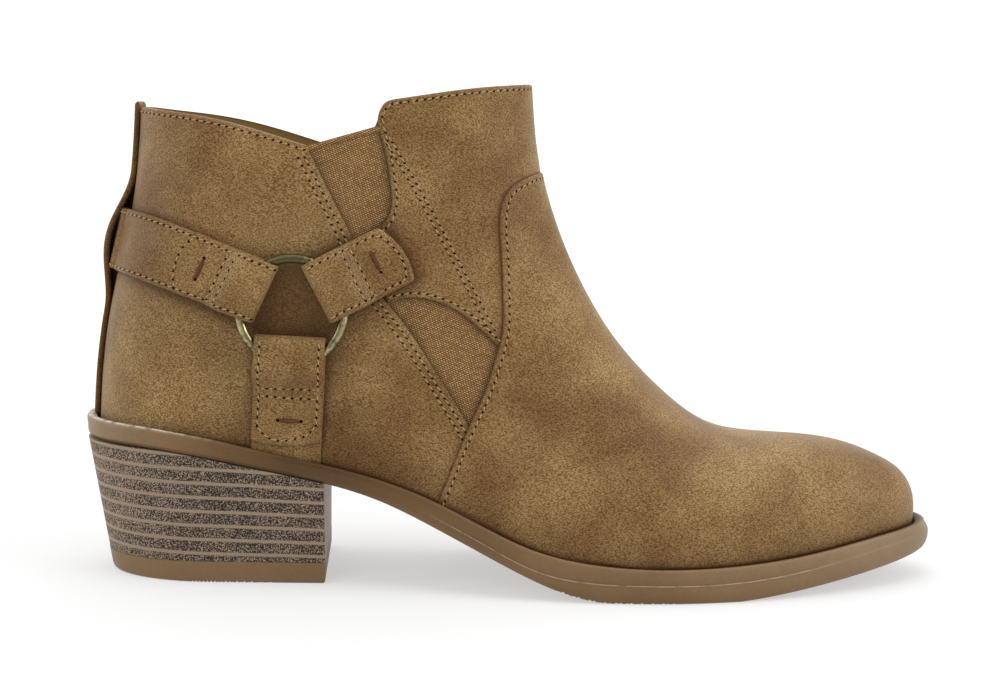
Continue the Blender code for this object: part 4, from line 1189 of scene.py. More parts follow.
def heel_strap_place(turn, across):
    """Map from the turn round the heel (-1 lateral to +1 medial) and the width of the harness strap."""
    run = STRAP_REACH * (1 - np.cos(turn * math.pi / 2))
    middle = STRAP_BACK_Z - STRAP_SLOPE * (np.hypot(run, STRAP_LEVEL) - STRAP_LEVEL)
    aside = np.minimum(run / (STRAP_REACH / 2), 1.0)
    z = middle + across * np.cos(aside * STRAP_TILT)
    x = back_x(z) + aside * (back_x(middle) - back_x(z)) + run + across * np.sin(aside * STRAP_TILT)
    x = np.maximum(x, back_x(z))
    y = np.where(turn < 0, strap_y(x, z, "lateral"), strap_y(x, z, "medial"))
    return np.stack([x, y, z], -1)


def heel_strap_run(run, across):
    """Heel strap's map by distance in front of the back line instead of turn."""
    return heel_strap_place(to_turn(run), across)


def backstay_place(z, across):
    """Map from height and width of the strip to the back of the heel."""
    half = np.abs(across) / SHAFT[2].lateral
    x = back_x(z) + back_reach(z) * (1 - (1 - half ** BACK_POWER) ** (1 / BACK_POWER))
    return np.stack(np.broadcast_arrays(x, CENTRE_Y + across, z), -1)


def placed(place, a, b, core_x):
    """Points of a mapped surface with their outward normals, from its slopes along and across."""
    small = 1e-3
    points = place(a, b)
    along_a = place(a + small, b) - place(a - small, b)
    normal = unit(np.cross(along_a, place(a, b + small) - place(a, b - small)))
    core = np.stack(np.broadcast_arrays(core_x, CENTRE_Y, points[..., 2]), -1)
    facing = np.sum(normal * (points - core), axis=-1, keepdims=True)
    return points, normal * np.sign(facing)


def even_path(path, step):
    """Path through points of length and height, at even steps."""
    knots = run_along(path)
    at = np.linspace(0, knots[-1], int(knots[-1] / step) + 2)
    return np.stack([np.interp(at, knots, path[:, 0]), np.interp(at, knots, path[:, 1])], -1)


def fold_path(tab, top_end):
    """Length and height of a strap: beneath from its end to the fold, round the ring, and back on top."""
    turn_at = tab.fold + TURN_RADIUS + STRAP_THICK / 2
    angles = np.linspace(-math.pi / 2, -3 * math.pi / 2, 13)
    middle = LAYER_LOW + TURN_RADIUS
    turn = np.stack([turn_at + TURN_RADIUS * np.cos(angles), middle + TURN_RADIUS * np.sin(angles)], -1)
    share = np.linspace(0, 1, 12)
    drop = LAYER_LOW + 2 * TURN_RADIUS + smooth(share) * (LAYER_TOP - LAYER_LOW - 2 * TURN_RADIUS)
    over = np.stack([RING_RADIUS + RING_WIRE + share * STRAP_DROP, drop], -1)
    return np.concatenate([[(tab.under, LAYER_LOW)], turn, over, [(top_end, LAYER_TOP)]])


def strap_shell(path, place, half, core_x, thick=STRAP_THICK, bow=0.0, middle=0.0):
    """Strap with rounded edges: an oval-cornered section carried along a path of length and height.

    Each point of the section lies across the strap and off its middle line, and both ends close to a line.
    The far end bows back on both sides of a middle, by the bow times the distance squared.
    """
    path = even_path(path, STRAP_STEP)
    aside = left_of(path)
    thin = np.ones(len(path))
    thin[:len(STRAP_ENDS)], thin[-len(STRAP_ENDS):] = STRAP_ENDS, STRAP_ENDS[::-1]
    left = np.linalg.norm(path - path[-1], axis=1)[:, None]
    round_end = 1.0 if bow else 0.5
    width = half - round_end * (1 - rounded(left / round_end + 0.02, 2.0))
    turn = np.linspace(-math.pi / 2, math.pi / 2, 7)
    flat = np.linspace(1, -1, 12)[1:-1]
    share = np.concatenate([np.ones(7), flat, -np.ones(7), -flat])
    out = np.concatenate([np.cos(turn), 0 * flat, -np.cos(turn), 0 * flat])
    rise = np.concatenate([np.sin(turn), 0 * flat + 1, np.sin(turn[::-1]), 0 * flat - 1])
    b = share[None] * (width - STRAP_CORNER) + STRAP_CORNER * out[None]
    t = rise[None] * thin[:, None] * thick / 2
    a = path[:, :1] + aside[:, :1] * t - bow * (b - middle) ** 2 * smooth(1 - left / BOW_LENGTH)
    level = path[:, 1:] + aside[:, 1:] * t
    points, normal = placed(place, a, b, core_x)
    edge_mark = fading(STRAP_BURNISH, (1 - np.abs(b) / width) * half)
    return points + normal * level[..., None], edge_mark


def add_strap(node, shell, edge_mark, tone):
    """Leather strap that stands for a CAD node, lighter or darker by its tone, its faces turned outwards."""
    made = add_grid(f"{node}_leather", shell, leather(), around=True, edge=edge_mark,
                    tone=np.full(shell.shape[:2], tone))
    work = bmesh.new()
    work.from_mesh(made.data)
    if work.calc_volume(signed=True) < 0:
        bmesh.ops.reverse_faces(work, faces=work.faces)
    work.to_mesh(made.data)
    work.free()
    return attach(made, "leather", node)


RING_RUN = float(RING_X - back_x(RING_Z))


def heel_strap_path():
    """Length and height of the whole heel strap, from its lateral end beneath to its medial one."""
    side = fold_path(HEEL_STRAP, RING_RUN - STRAP_ROUND)
    share = np.linspace(0, 1, 30)[1:]
    left = to_turn(side[-1, 0] - RING_RUN)
    run = -STRAP_REACH * (1 - np.cos((1 - share) * left * math.pi / 2))
    rest = np.stack([run, LAYER_TOP + smooth(1.6 * share) * (LAYER_LOW - LAYER_TOP)], -1)
    half = np.concatenate([side - [RING_RUN, 0], rest[:-1], np.array(STRAP_BACK) + [0, LAYER_LOW]])
    return np.concatenate([half, half[-2::-1] * [-1, 1]])


def add_backstay():
    """Strip up the back of the heel, arched over the heel strap, and a dark core in its arch as painted
    shadow.
    """
    rows = np.linspace(STAY_LOW, STAY_HIGH, 120)
    arch = np.clip(np.abs(rows - STAY_ARCH_Z) / STAY_ARCH_HALF, 0, 1)
    path = np.stack([rows, STAY_OUT + STAY_ARCH * np.cos(arch * math.pi / 2) ** 2], -1)
    shell, edge_mark = strap_shell(path, backstay_place, STAY_HALF, HEEL_CORE, thick=STAY_THICK)
    add_strap("backstay", shell, edge_mark + STAY_BURNISH, STAY_TONE)
    # Dark core in the arch, all in the leather's shadow colour: painted shadow where the gap under the strip
    # would show through
    arched = path[np.abs(path[:, 0] - STAY_ARCH_Z) < STAY_ARCH_HALF]
    outer, inner = back_x(arched[:, 0]) - arched[:, 1], back_x(arched[:, 0]) + 1
    y = CENTRE_Y + STAY_SHADOW_HALF * np.array([-1, -1, 1, 1])
    core = np.stack([outer, inner, inner, outer], -1)
    core = np.stack(np.broadcast_arrays(core, y[None], arched[:, :1]), -1)
    made = add_grid("backstay_core", core, leather(), around=True, edge=np.ones(core.shape[:2]))
    attach(made, "leather", "backstay")


def add_ring(side):
    """Brass ring of a side: a wire carried round the ring's axis, darker over its upper half in painted
    shade.
    """
    centre, axis, radius = RINGS[side]
    turn = np.linspace(0, 2 * math.pi, 121)[:, None]
    wire = np.linspace(0, 2 * math.pi, 24, endpoint=False)
    first = axis.orthogonal().normalized()
    spoke = np.cos(turn) * np.array(first) + np.sin(turn) * np.array(axis.cross(first))
    points = np.array(centre) + spoke[:, None] * (radius + RING_WIRE * np.cos(wire))[None, :, None]
    points = points + np.array(axis) * (RING_WIRE * np.sin(wire))[None, :, None]
    # Painted shade: more patina towards the top of the ring
    top_shade = smooth((points[..., 2] - RING_Z) / RING_RADIUS)
    brass = finish_once("antique_brass", brass_finish, look().brass_bright, look().brass_patina)
    made = add_grid(f"ring_{side}_brass", points, brass, around=True, merge=RING_MERGE, edge=top_shade)
    attach(made, "ring", f"ring_{side}")


class BOOT_OT_harness(bpy.types.Operator):
    """Harness: heel strap, front and lower tabs, rings and the backstay strip"""

    bl_idname = "boot.harness"
    bl_label = "Harness"

    def execute(self, context):
        shell, edge_mark = strap_shell(heel_strap_path(), heel_strap_run, HEEL_STRAP.half, HEEL_CORE)
        add_strap("heel_strap", shell, edge_mark, HEEL_STRAP.tone)
        for side in SIDES:
            for name, tab in (("ring_tab", RING_TAB), ("sole_tab", SOLE_TAB)):
                path, place = fold_path(tab, tab.top), tab_place(tab, side)
                bowed = {"bow": tab.bow, "middle": tab.bow_middle}
                shell, edge_mark = strap_shell(path, place, tab.half, RING_X, **bowed)
                add_strap(f"{name}_{side}", shell, edge_mark, tab.tone)
        add_backstay()
        for side in SIDES:
            add_ring(side)
        return {"FINISHED"}


# Distance over which the direction of a row of stitches is read, and lift of a needle hole off the leather
STITCH_SLOPE, HOLE_LIFT = 0.3, 0.06

# Radius of the needle holes of raised stitches, sunk ones and bar tacks; stretch and slant of the first
HOLE, SUNK_HOLE, TACK_HOLE = 0.28, 0.38, 0.55
HOLE_LONG, HOLE_SLANT = 1.6, 0.7

# Length and width of a sunk stitch as shares of a raised one, and width of a bar tack
SUNK_LENGTH, SUNK_WIDTH, TACK_WIDTH = 0.75, 1.2, 1.35

# Distance of the rows of stitches from the edges of the leather, and of the diagonal pair from its middle
SEAM_ROW, SECOND_ROW, EDGE_ROW, COLLAR_ROW, DIAGONAL_ROW = 1.7, 3.5, 1.3, 1.35, 0.75

# Heights between which the vamp's seam and the quarter's edge are sewn, how far forward the vamp's seam and
# the shaft front's collar are sewn, and how far the rows keep from the ridge
VAMP_SEWN, QUARTER_SEWN = (20.0, 119.0), (44.0, 127.0)
VAMP_SEWN_TO, CORNER_SEWN_TO, RIDGE_CLEAR = 9.0, 5.0, 0.4


def stitch_line(points, normals, pitch):
    """Places of stitches along a line: centres, directions and normals at an even pitch."""
    run = run_along(points)
    count = max(int(run[-1] / pitch), 1)
    at = (np.arange(count) + 0.5) * run[-1] / count

    def read(rows, where):
        return np.stack([np.interp(where, run, axis) for axis in rows.T], -1)
    ahead = unit(read(points, at + STITCH_SLOPE) - read(points, at - STITCH_SLOPE))
    normal = read(normals, at)
    normal = unit(normal - ahead * np.sum(normal * ahead, axis=1, keepdims=True))
    return read(points, at), ahead, normal


def stitch_shapes(places, length, width, slant=0.2, taper=0.35, rise=0.3):
    """Stitches as short bent threads: rings of six points along an arc that dips into the leather at both
    ends, thinner there by the taper and slanting across the row."""
    centre, ahead, normal = places
    aside = np.cross(normal, ahead)
    ahead = ahead + slant * aside
    station = np.array([-0.5, -0.42, -0.22, 0.0, 0.22, 0.42, 0.5])
    size = width / 2 * (taper + (1 - taper) * np.sqrt(1 - (2 * station) ** 2))
    lift = width * (rise - 0.55 * (2 * station) ** 4)
    turn = np.linspace(0, 2 * math.pi, 6, endpoint=False)
    middle = centre[:, None] + ahead[:, None] * (station * length)[None, :, None]
    middle = middle + normal[:, None] * lift[None, :, None]
    round_points = (np.cos(turn)[None, None, :, None] * aside[:, None, None]
                    + np.sin(turn)[None, None, :, None] * normal[:, None, None])
    points = middle[:, :, None] + size[None, :, None, None] * round_points
    one = grid_quads(len(station), 6, around=True)
    quads = (np.arange(len(centre)) * len(station) * 6)[:, None, None] + one[None]
    return points.reshape(-1, 3), quads.reshape(-1, 4)


def hole_shapes(places, offset, radius, long=1.0, slant=0.0):
    """Needle holes as painted shadow: a flat dark oval of eight sides at an offset along the row from each
    centre, longer along a line that slants across the row."""
    centre, ahead, normal = places
    aside = np.cross(normal, ahead)
    turn = np.linspace(0, 2 * math.pi, 8, endpoint=False)[None, :, None]
    major = math.cos(slant) * ahead + math.sin(slant) * aside
    minor = math.cos(slant) * aside - math.sin(slant) * ahead
    rim = radius * (long * np.cos(turn) * major[:, None] + np.sin(turn) * minor[:, None])
    points = (centre + ahead * offset + HOLE_LIFT * normal)[:, None] + rim
    start = (np.arange(len(centre)) * 8)[:, None, None]
    quads = start + np.array([[0, 1, 2, 7], [7, 2, 3, 6], [6, 3, 4, 5]])[None]
    return points.reshape(-1, 3), quads.reshape(-1, 4)


def joined(shapes):
    """One set of points and faces from several."""
    points, faces, start = [], [], 0
    for part_points, part_faces in shapes:
        points.append(part_points)
        faces.append(part_faces + start)
        start += len(part_points)
    return np.concatenate(points), np.concatenate(faces)


def between(line, low, high):
    """Stretch of a side-view line whose height lies between two values."""
    return line[(line[:, 1] >= low) & (line[:, 1] <= high)]


def seam_runs():
    """Stitch lines on the leather of a side: side-view lines with the level that they are sewn at."""
    seam = beside(VAMP_SEAM, SEAM_ROW)
    vamp = between(seam[seam[:, 0] < VAMP_SEWN_TO], *VAMP_SEWN)
    corner = beside([GORE_FRONT[0], FRONT_CORNER] + COLLAR_FRONT, -COLLAR_ROW)
    runs = [between(beside(QUARTER_EDGE, -offset), *QUARTER_SEWN) for offset in (SEAM_ROW, SECOND_ROW)]
    runs += [beside(DIAGONAL, offset) for offset in (-DIAGONAL_ROW, DIAGONAL_ROW)]
    runs += [beside(line, EDGE_ROW) for line in (GORE_FRONT, EAR_LOWER[:-1])]
    runs += [beside(COLLAR_BACK, -COLLAR_ROW)]
    return [(vamp, VAMP_RISE), (corner[corner[:, 0] < CORNER_SEWN_TO], 0.0)] + [(line, 0.0) for line in runs]


# Length from the ring that is past the end of every strap
PAST_STRAPS = 200.0


def strap_level(tab, run):
    """Height of the outer face of a strap's top layer at a distance from the middle of the ring."""
    path = even_path(fold_path(tab, PAST_STRAPS), STRAP_STEP)
    outer = path + STRAP_THICK / 2 * left_of(path)
    top = outer[np.argmax(outer[:, 1]):]
    return np.interp(run, top[:, 0], top[:, 1])


def strap_points(tab, place, core_x, length, across):
    """Points and normals on the outer face of a strap at a distance from the ring's middle and across it."""
    points, normals = placed(place, length, across, core_x)
    return points + normals * strap_level(tab, length)[..., None], normals


# Sewing of each strap, by distance from the middle of the ring and place across: rows of thread at the
# edges, rows that are pulled into the leather, and the bar tack's distance, place across and width
Sewing = namedtuple("Sewing", "edges sunk tack")
RING_TAB_SEWING = Sewing(
    [[(9.0, 7.8), (20.0, 7.8), (28.0, 7.8)], [(9.0, -7.8), (20.0, -7.8), (31.0, -7.8)],
     [(28.0, 7.8), (30.6, 7.6), (32.0, 6.4), (33.6, 3.0), (34.3, -0.6), (34.2, -4.0), (33.4, -6.6),
      (32.4, -7.6), (31.0, -7.8)]],
    [[(20.0, 7.8), (19.8, 0.0), (19.6, -7.8)], [(22.6, 7.8), (22.4, 0.0), (22.2, -7.8)]], (27.5, 1.0, 7.5))
SOLE_TAB_SEWING = Sewing(
    [[(8.2, 8.5), (20.0, 8.5), (33.0, 8.5)], [(8.2, -8.5), (20.0, -8.5), (34.0, -8.5)],
     [(33.0, 8.5), (35.6, 6.2), (37.2, 2.6), (37.9, -1.5), (37.0, -5.4), (34.0, -8.5)]],
    [[(22.5, 8.5), (22.5, 0.0), (22.6, -8.5)], [(25.4, 8.5), (25.3, 0.0), (25.0, -8.5)]], (32.0, 0.8, 6.7))


def heel_strap_sewing():
    """Sewing of the heel strap, whose rows are set out from the back line and turned into ring distances."""
    stations = (0.6, 12.0, 24.0, 36.0, RING_RUN - 8.8)
    edges = [[(run, across) for run in stations] for across in (7.85, -7.85)]
    sunk = [[(24.1, 7.9), (22.0, 4.0), (21.5, 0.0), (22.0, -4.0), (23.9, -7.9)],
            [(34.1, 7.8), (34.1, 0.0), (34.1, -7.8)], [(36.5, 7.8), (36.5, 0.0), (36.5, -7.8)]]
    turned = [[[(RING_RUN - run, across) for run, across in row] for row in rows] for rows in (edges, sunk)]
    return Sewing(*turned, (RING_RUN - 28.5, 0.0, 6.6))


def strap_sewing():
    """Straps of both sides with their sewing: the tab, its map, the middle to face away from, the rows."""
    found = []
    for side, sign in SIDES.items():
        def heel_place(length, across, sign=sign):
            return heel_strap_run(sign * (RING_RUN - length), across)
        found += [(RING_TAB, tab_place(RING_TAB, side), RING_X, RING_TAB_SEWING),
                  (SOLE_TAB, tab_place(SOLE_TAB, side), RING_X, SOLE_TAB_SEWING),
                  (HEEL_STRAP, heel_place, HEEL_CORE, heel_strap_sewing())]
    return found


class BOOT_OT_stitching(bpy.types.Operator):
    """Stitches, needle holes and bar tacks along the seams and straps"""

    bl_idname = "boot.stitching"
    bl_label = "Stitching"

    def execute(self, context):
        pitch, length = look().stitch_pitch / MM, look().stitch_length / MM
        width = look().thread_width / MM
        proud, sunk, tacks = [], [], []
        for side in SIDES:
            for line, level in seam_runs():
                points, normals = side_frame(line[:, 0], line[:, 1], side)
                kept = np.abs(points[:, 1] - CENTRE_Y) > RIDGE_CLEAR
                proud.append(stitch_line((points + normals * level)[kept], normals[kept], pitch))
        for tab, place, core_x, sewing in strap_sewing():
            for rows, group in ((sewing.edges, proud), (sewing.sunk, sunk)):
                for row in rows:
                    line = line_at(row, np.linspace(0, 1, 160))
                    points, normals = strap_points(tab, place, core_x, line[:, 0], line[:, 1])
                    group.append(stitch_line(points, normals, pitch))
            run, across, wide = sewing.tack
            line = across + np.linspace(-wide / 2, wide / 2, 21)
            points, normals = strap_points(tab, place, core_x, run + 0 * line, line)
            tacks.append((wide, stitch_line(points, normals, 2 * wide)))
        thread = finish_once("sewing_thread", thread_finish, look().thread_tan)
        dark = finish_once("needle_hole", thread_finish, look().hole_brown, 0.0)
        rust = finish_once("tack_thread", thread_finish, look().tack_red)
        shapes = [stitch_shapes(row, length, width) for row in proud]
        shapes += [stitch_shapes(row, SUNK_LENGTH * length, SUNK_WIDTH * width, slant=0.0, rise=0.35)
                   for row in sunk]
        attach(add_mesh("stitches", *joined(shapes), thread), "leather")
        shapes = [hole_shapes(row, pitch / 2, HOLE, HOLE_LONG, HOLE_SLANT) for row in proud]
        shapes += [hole_shapes(row, pitch / 2, SUNK_HOLE) for row in sunk]
        shapes += [hole_shapes(row, sign * wide / 2, TACK_HOLE) for wide, row in tacks for sign in (-1, 1)]
        attach(add_mesh("needle_holes", *joined(shapes), dark), "leather")
        shapes = [stitch_shapes(row, wide, TACK_WIDTH, slant=0.0, taper=0.15, rise=0.15)
                  for wide, row in tacks]
        attach(add_mesh("bar_tacks", *joined(shapes), rust), "leather")
        return {"FINISHED"}


# Sole from its underside over its side into the cup: inset in plan, cuts at heel and toe, height as a share
# between two levels of the side, counted under 0, step 1, rim 2, cup floor 3, and the lift above it; then
# the groove at the parting line and how far that line, the dry glue with its painted highlight at the heel
# and the painted shadow in the gap show
Edge = namedtuple("Edge", "inset heel toe level lift groove line glue gap", defaults=(0.0, 0.0, 0.0, 0.0))
SOLE_EDGE = [
    Edge(3.2, 4.6, 3.6, 0.0, 0.0), Edge(1.5, 2.4, 1.6, 0.0, 0.05), Edge(0.95, 1.7, 1.0, 0.0, 0.45),
    Edge(0.55, 1.0, 0.5, 0.0, 1.3), Edge(0.3, 0.4, 0.1, 0.5, 0.0), Edge(0.22, 0.2, 0.05, 1.0, -0.8),
    Edge(0.25, 0.2, 0.15, 1.0, -0.2, groove=0.1), Edge(0.27, 0.2, 0.2, 1.0, -0.08, line=0.3),
    Edge(0.3, 0.2, 0.3, 1.0, 0.08, line=0.3), Edge(0.32, 0.2, 0.45, 1.0, 0.2, groove=0.25),
    Edge(0.36, 0.15, 0.6, 1.0, 0.8, groove=0.15), Edge(0.42, 0.0, 1.0, 1.5, 0.0),
    Edge(0.45, 0.0, 1.3, 2.0, -0.9), Edge(0.58, 0.15, 1.45, 2.0, -0.35, glue=0.1),
    Edge(0.9, 0.45, 1.8, 2.0, -0.08, glue=0.7, gap=0.3), Edge(1.4, 1.0, 2.5, 2.0, 0.0, glue=0.8, gap=0.8),
    Edge(1.9, 2.0, 3.3, 2.0, -0.08, glue=0.5, gap=1.0), Edge(2.2, 2.9, 4.2, 2.0, -0.6, glue=0.5, gap=1.0),
    Edge(2.8, 3.1, 4.6, 3.0, 0.0, gap=1.0),
]

# Stretch of the sole that has the parting line, of its rim that has dry glue with a painted highlight, and
# of its rim that has painted shadow in the gap, each with the length over which it fades out, and of the
# floor edge with tread
LINE_FROM, LINE_TO, LINE_FADE = -12.0, 82.0, 16.0
GLUE_TO, GLUE_FADE = -104.0, 25.0
GAP_SHADOW_FROM, GAP_SHADOW_FADE = -66.0, 20.0
TREAD_FROM, TREAD_TO, TREAD_PITCH, TREAD_DEPTH = 14.0, 46.0, 1.5, 0.45
LIFT_TREAD_FROM, LIFT_TREAD_TO, LIFT_TREAD_PITCH = -93.0, -70.0, 1.1

# How deep the painted shade is along the upper and the lower half of the sole's side, and how deep the brown
# is on the lift
SoleShade = namedtuple("SoleShade", "x upper lower")
SOLE_SHADES = [
    SoleShade(-128, 0.1, 0.25), SoleShade(-105, 0.36, 0.4), SoleShade(-85, 0.66, 0.64),
    SoleShade(-65, 0.97, 0.86), SoleShade(-50, 0.97, 0.78), SoleShade(-30, 0.8, 0.6),
    SoleShade(-10, 0.62, 0.55), SoleShade(10, 0.43, 0.52), SoleShade(40, 0.38, 0.58),
    SoleShade(80, 0.28, 0.46), SoleShade(110, 0.12, 0.28), SoleShade(128, 0.0, 0.12),
]
LIFT_TONE = 0.42

# Points from heel to toe along one side of the sole
SOLE_STEPS = 620

# Angle from which an edge of the sole and of the heel is shaded sharp
SOLE_SHARP, HEEL_SHARP = math.radians(50), math.radians(40)

# Insole: inset from the sole's outline, gap to the last's feather edge at heel and toe, rise of its sides
INSOLE_INSET, INSOLE_HEEL, INSOLE_TOE, INSOLE_DISH = RAND + 5.2, 6.0, 5.2, 1.2

# Heel: how far its back and its top lie inside the sole's outline, and the block inside the lift's line
HEEL_GAP, HEEL_INSET, BLOCK_INSET = 0.3, 0.6, 0.05


def along(x, start, end, fade):
    """Share that is 1 between two places along the sole and fades to 0 outside them."""
    return smooth((x - start) / fade + 1) * smooth((end - x) / fade + 1)


def tread(x, start, end, pitch):
    """Rise of the fine tread notches along a stretch of floor edge: the upper half of a wave, squared."""
    return TREAD_DEPTH * along(x, start, end, pitch) * np.maximum(np.sin(2 * math.pi * x / pitch), 0) ** 2


def sole_level(x, level, lift):
    """Height on the sole's side at a share between its named levels."""
    levels = np.stack([height("under", x), height("step", x), height("rim", x), cup_floor(x)])
    low = int(min(level, 2))
    return levels[low] + (level - low) * (levels[low + 1] - levels[low]) + lift


def sole_ring(edge):
    """Closed ring round the sole: lateral side from heel to toe, then the medial side back. Gives the points
    and the marks for pale lines and for deep brown of painted shade."""
    heel, toe = HEEL_END + edge.heel, TOE_END - edge.toe
    x = heel + (toe - heel) * eased(SOLE_STEPS)
    lined = along(x, LINE_FROM, LINE_TO, LINE_FADE)
    inset = edge.inset + edge.groove * lined
    z = sole_level(x, edge.level, edge.lift)
    if edge.level == 0:
        z = z + tread(x, TREAD_FROM, TREAD_TO, TREAD_PITCH) * smooth(1.5 - edge.lift)
    # Pale marks: the parting line, and dry glue at the heel with a painted highlight on the rim's lip
    pale = edge.line * lined + edge.glue * along(x, HEEL_END, GLUE_TO, GLUE_FADE)
    share = min(edge.level, 2) / 2
    lower, upper = (np.interp(x, column(SOLE_SHADES, "x"), column(SOLE_SHADES, half))
                    for half in ("lower", "upper"))
    # Painted shade along the sole's side, deepest at the waist, and painted shadow in the gap under the
    # upper
    deep = np.maximum(lower + share * (upper - lower), edge.gap * smooth((x - GAP_SHADOW_FROM) / GAP_SHADOW_FADE + 1))
    lateral, medial = (
        np.stack([x, CENTRE_Y + sign * outline(side, x, inset, heel, toe), z, pale, deep], -1)
        for side, sign in SIDES.items())
    return np.concatenate([lateral, medial[-2:0:-1]])


def closed_quads(rows, around, flip=False):
    """Faces of a stack of rings, closed at both ends by faces from each lateral point to the medial one."""
    half = np.arange(around // 2 + 1)
    quads = [grid_quads(rows, around, around=True, flip=flip)]
    for start, turned in ((0, not flip), ((rows - 1) * around, flip)):
        lateral, medial = start + half, start + (around - half) % around
        cap = np.stack([lateral[:-1], lateral[1:], medial[1:], medial[:-1]], -1)
        quads.append(cap[:, ::-1] if turned else cap)
    return np.concatenate(quads)


# Points of a heel ring along each side and across the breast
HEEL_STEPS, BREAST_STEPS = 240, 18

# Bevel of the lift's top edge, and its rings from its side to the floor: share of the heel's drop, height
# and inset
LIFT_BEVEL = 0.25
LIFT_FOOT = ((0.95, 1.6, 0.0), (0.98, 0.7, 0.15), (0.99, 0.25, 0.5), (1.0, 0.0, 1.0))


def heel_ring(drop, level, inset=0.0):
    """Ring of the heel at a share of its drop: round at the back and straight across the breast."""
    back = HEEL_END + HEEL_GAP + drop * (HEEL_BASE_BACK - HEEL_END) + inset
    turn = np.linspace(0, 1, HEEL_STEPS)
    rows = []
    for side, sign in SIDES.items():
        x = back + (BREAST[side] - inset - back) * turn**2
        top = outline(side, x, HEEL_INSET, back)
        base = HEEL_BASE_HALF * rounded((x - back) / HEEL_ROUND, BACK_POWER)
        y = CENTRE_Y + sign * ((1 - drop) * top + drop * base - inset * np.sqrt(turn))
        rows.append(np.stack([x, y, level(x)], -1))
    across = rows[0][-1] + np.linspace(0, 1, BREAST_STEPS + 2)[1:-1, None] * (rows[1][-1] - rows[0][-1])
    across[:, 2] = level(across[:, 0])
    return np.concatenate([rows[0], across, rows[1][:0:-1]])


def lift_tread(x):
    """Rise of the fine tread notches along the floor edge of the heel lift."""
    return tread(x, LIFT_TREAD_FROM, LIFT_TREAD_TO, LIFT_TREAD_PITCH)


def insole_grid():
    """Points of the insole's top: the sole's outline drawn in, dished across by a fourth power."""
    heel, toe = SHAFT[0].base_x + INSOLE_HEEL, FOOT[0].base_x - INSOLE_TOE
    x = heel + (toe - heel) * eased(90)
    lateral, medial = (CENTRE_Y + sign * outline(side, x, INSOLE_INSET, heel, toe)
                       for side, sign in SIDES.items())
    share = np.linspace(0, 1, 40)
    y = lateral[:, None] + share[None] * (medial - lateral)[:, None]
    dish = INSOLE_DISH * ((2 * share - 1) ** 4 - 1)
    z = (seat(x) + INSOLE_THICK)[:, None] + dish[None]
    return np.stack(np.broadcast_arrays(x[:, None], y, z), -1)


class BOOT_OT_sole(bpy.types.Operator):
    """Moulded sole with its rand, side step and cup, and the insole on its floor"""

    bl_idname = "boot.sole"
    bl_label = "Sole and insole"

    def execute(self, context):
        rings = np.stack([sole_ring(edge) for edge in SOLE_EDGE])
        made = add_mesh("outsole_moulded", rings[..., :3], closed_quads(*rings.shape[:2]), sole_rubber(),
                        edge=rings[..., 3], shade=rings[..., 4])
        attach(made, "sole", "outsole")
        made.data.set_sharp_from_angle(angle=SOLE_SHARP)
        attach(add_grid("insole_sock", insole_grid(), lining_cloth()), "sock", "insole")
        return {"FINISHED"}


class BOOT_OT_heel(bpy.types.Operator):
    """Stacked heel block and the plain lift under it"""

    bl_idname = "boot.heel"
    bl_label = "Heel"

    def execute(self, context):
        seat_z = float(height("under", np.array(HEEL_END + HEEL_ROUND)))
        lift_share = 1 - LIFT_HEIGHT / seat_z

        def block_level(down):
            return lambda x: (1 - down) * height("under", x) + down * LIFT_HEIGHT

        def lift_level(z):
            return lambda x: z + lift_tread(x) * smooth(1 - z)
        block = [heel_ring(lift_share * down, block_level(down), BLOCK_INSET)
                 for down in np.linspace(0, 1, 24)]
        lift_rows = ((lift_share, LIFT_HEIGHT, LIFT_BEVEL), (lift_share, LIFT_HEIGHT - LIFT_BEVEL, 0.0),
                     *LIFT_FOOT)
        lift = [heel_ring(drop, lift_level(z), inset) for drop, z, inset in lift_rows]
        stack = finish_once("stacked_heel", stack_finish, look().stack_dark, look().stack_light,
                            look().stack_pitch)
        pieces = (("heel_stack", block, stack, "stack", "heel_block"),
                  ("heel_lift_brown", lift, sole_rubber(), "lift", "heel_lift"))
        for name, rings, finish, slot, node in pieces:
            rings = np.stack(rings)
            rows, around = rings.shape[:2]
            place = np.broadcast_to(np.arange(around), (rows, around))
            breast = (place >= HEEL_STEPS) & (place < HEEL_STEPS + BREAST_STEPS)
            made = add_mesh(name, rings, closed_quads(rows, around, flip=True), finish,
                            edge=breast & (slot == "stack"), shade=np.full((rows, around), LIFT_TONE))
            made.data.set_sharp_from_angle(angle=HEEL_SHARP)
            attach(made, slot, node)
        return {"FINISHED"}


# Sweep of paper behind the boot: its front, the start and radius of its curve, its height and half width;
# then the stretch in metres over which its glow comes in, with the glow at both ends
SWEEP_FRONT, SWEEP_CURVE, SWEEP_RADIUS, SWEEP_HEIGHT, SWEEP_HALF = -6000.0, 1500.0, 600.0, 4000.0, 5000.0
GLOW_FROM, GLOW_TO, GLOW_NEAR, GLOW_FAR = 0.1, 0.9, 0.5, 0.83

# Area lights, in metres and watts, the place that they face, and the strength of the white surroundings
Lamp = namedtuple("Lamp", "name place size power")
LAMPS = (
    Lamp("top", (0.05, 0.04, 1.3), 1.4, 13.0), Lamp("key", (-0.5, -1.0, 0.9), 0.7, 3.9),
    Lamp("side", (1.0, -0.4, 0.6), 0.8, 7.0), Lamp("rim", (-1.1, -0.1, 0.45), 0.8, 4.2),
)
LIT_PLACE = (0.0, 0.0, 0.06)
WORLD_STRENGTH = 0.26

# Camera: sensor width, focal length and image width in pixels, nearest distance that it sees and place in
# metres, tilt down and roll
SENSOR, FOCAL_PIXELS, IMAGE_PIXELS = 36.0, 1932.69, 1000
CAMERA_NEAR = 0.05
CAMERA_PLACE = (-0.00336, -0.5787, 0.1378)
CAMERA_TILT, CAMERA_ROLL = math.radians(6.64), math.radians(0.6)


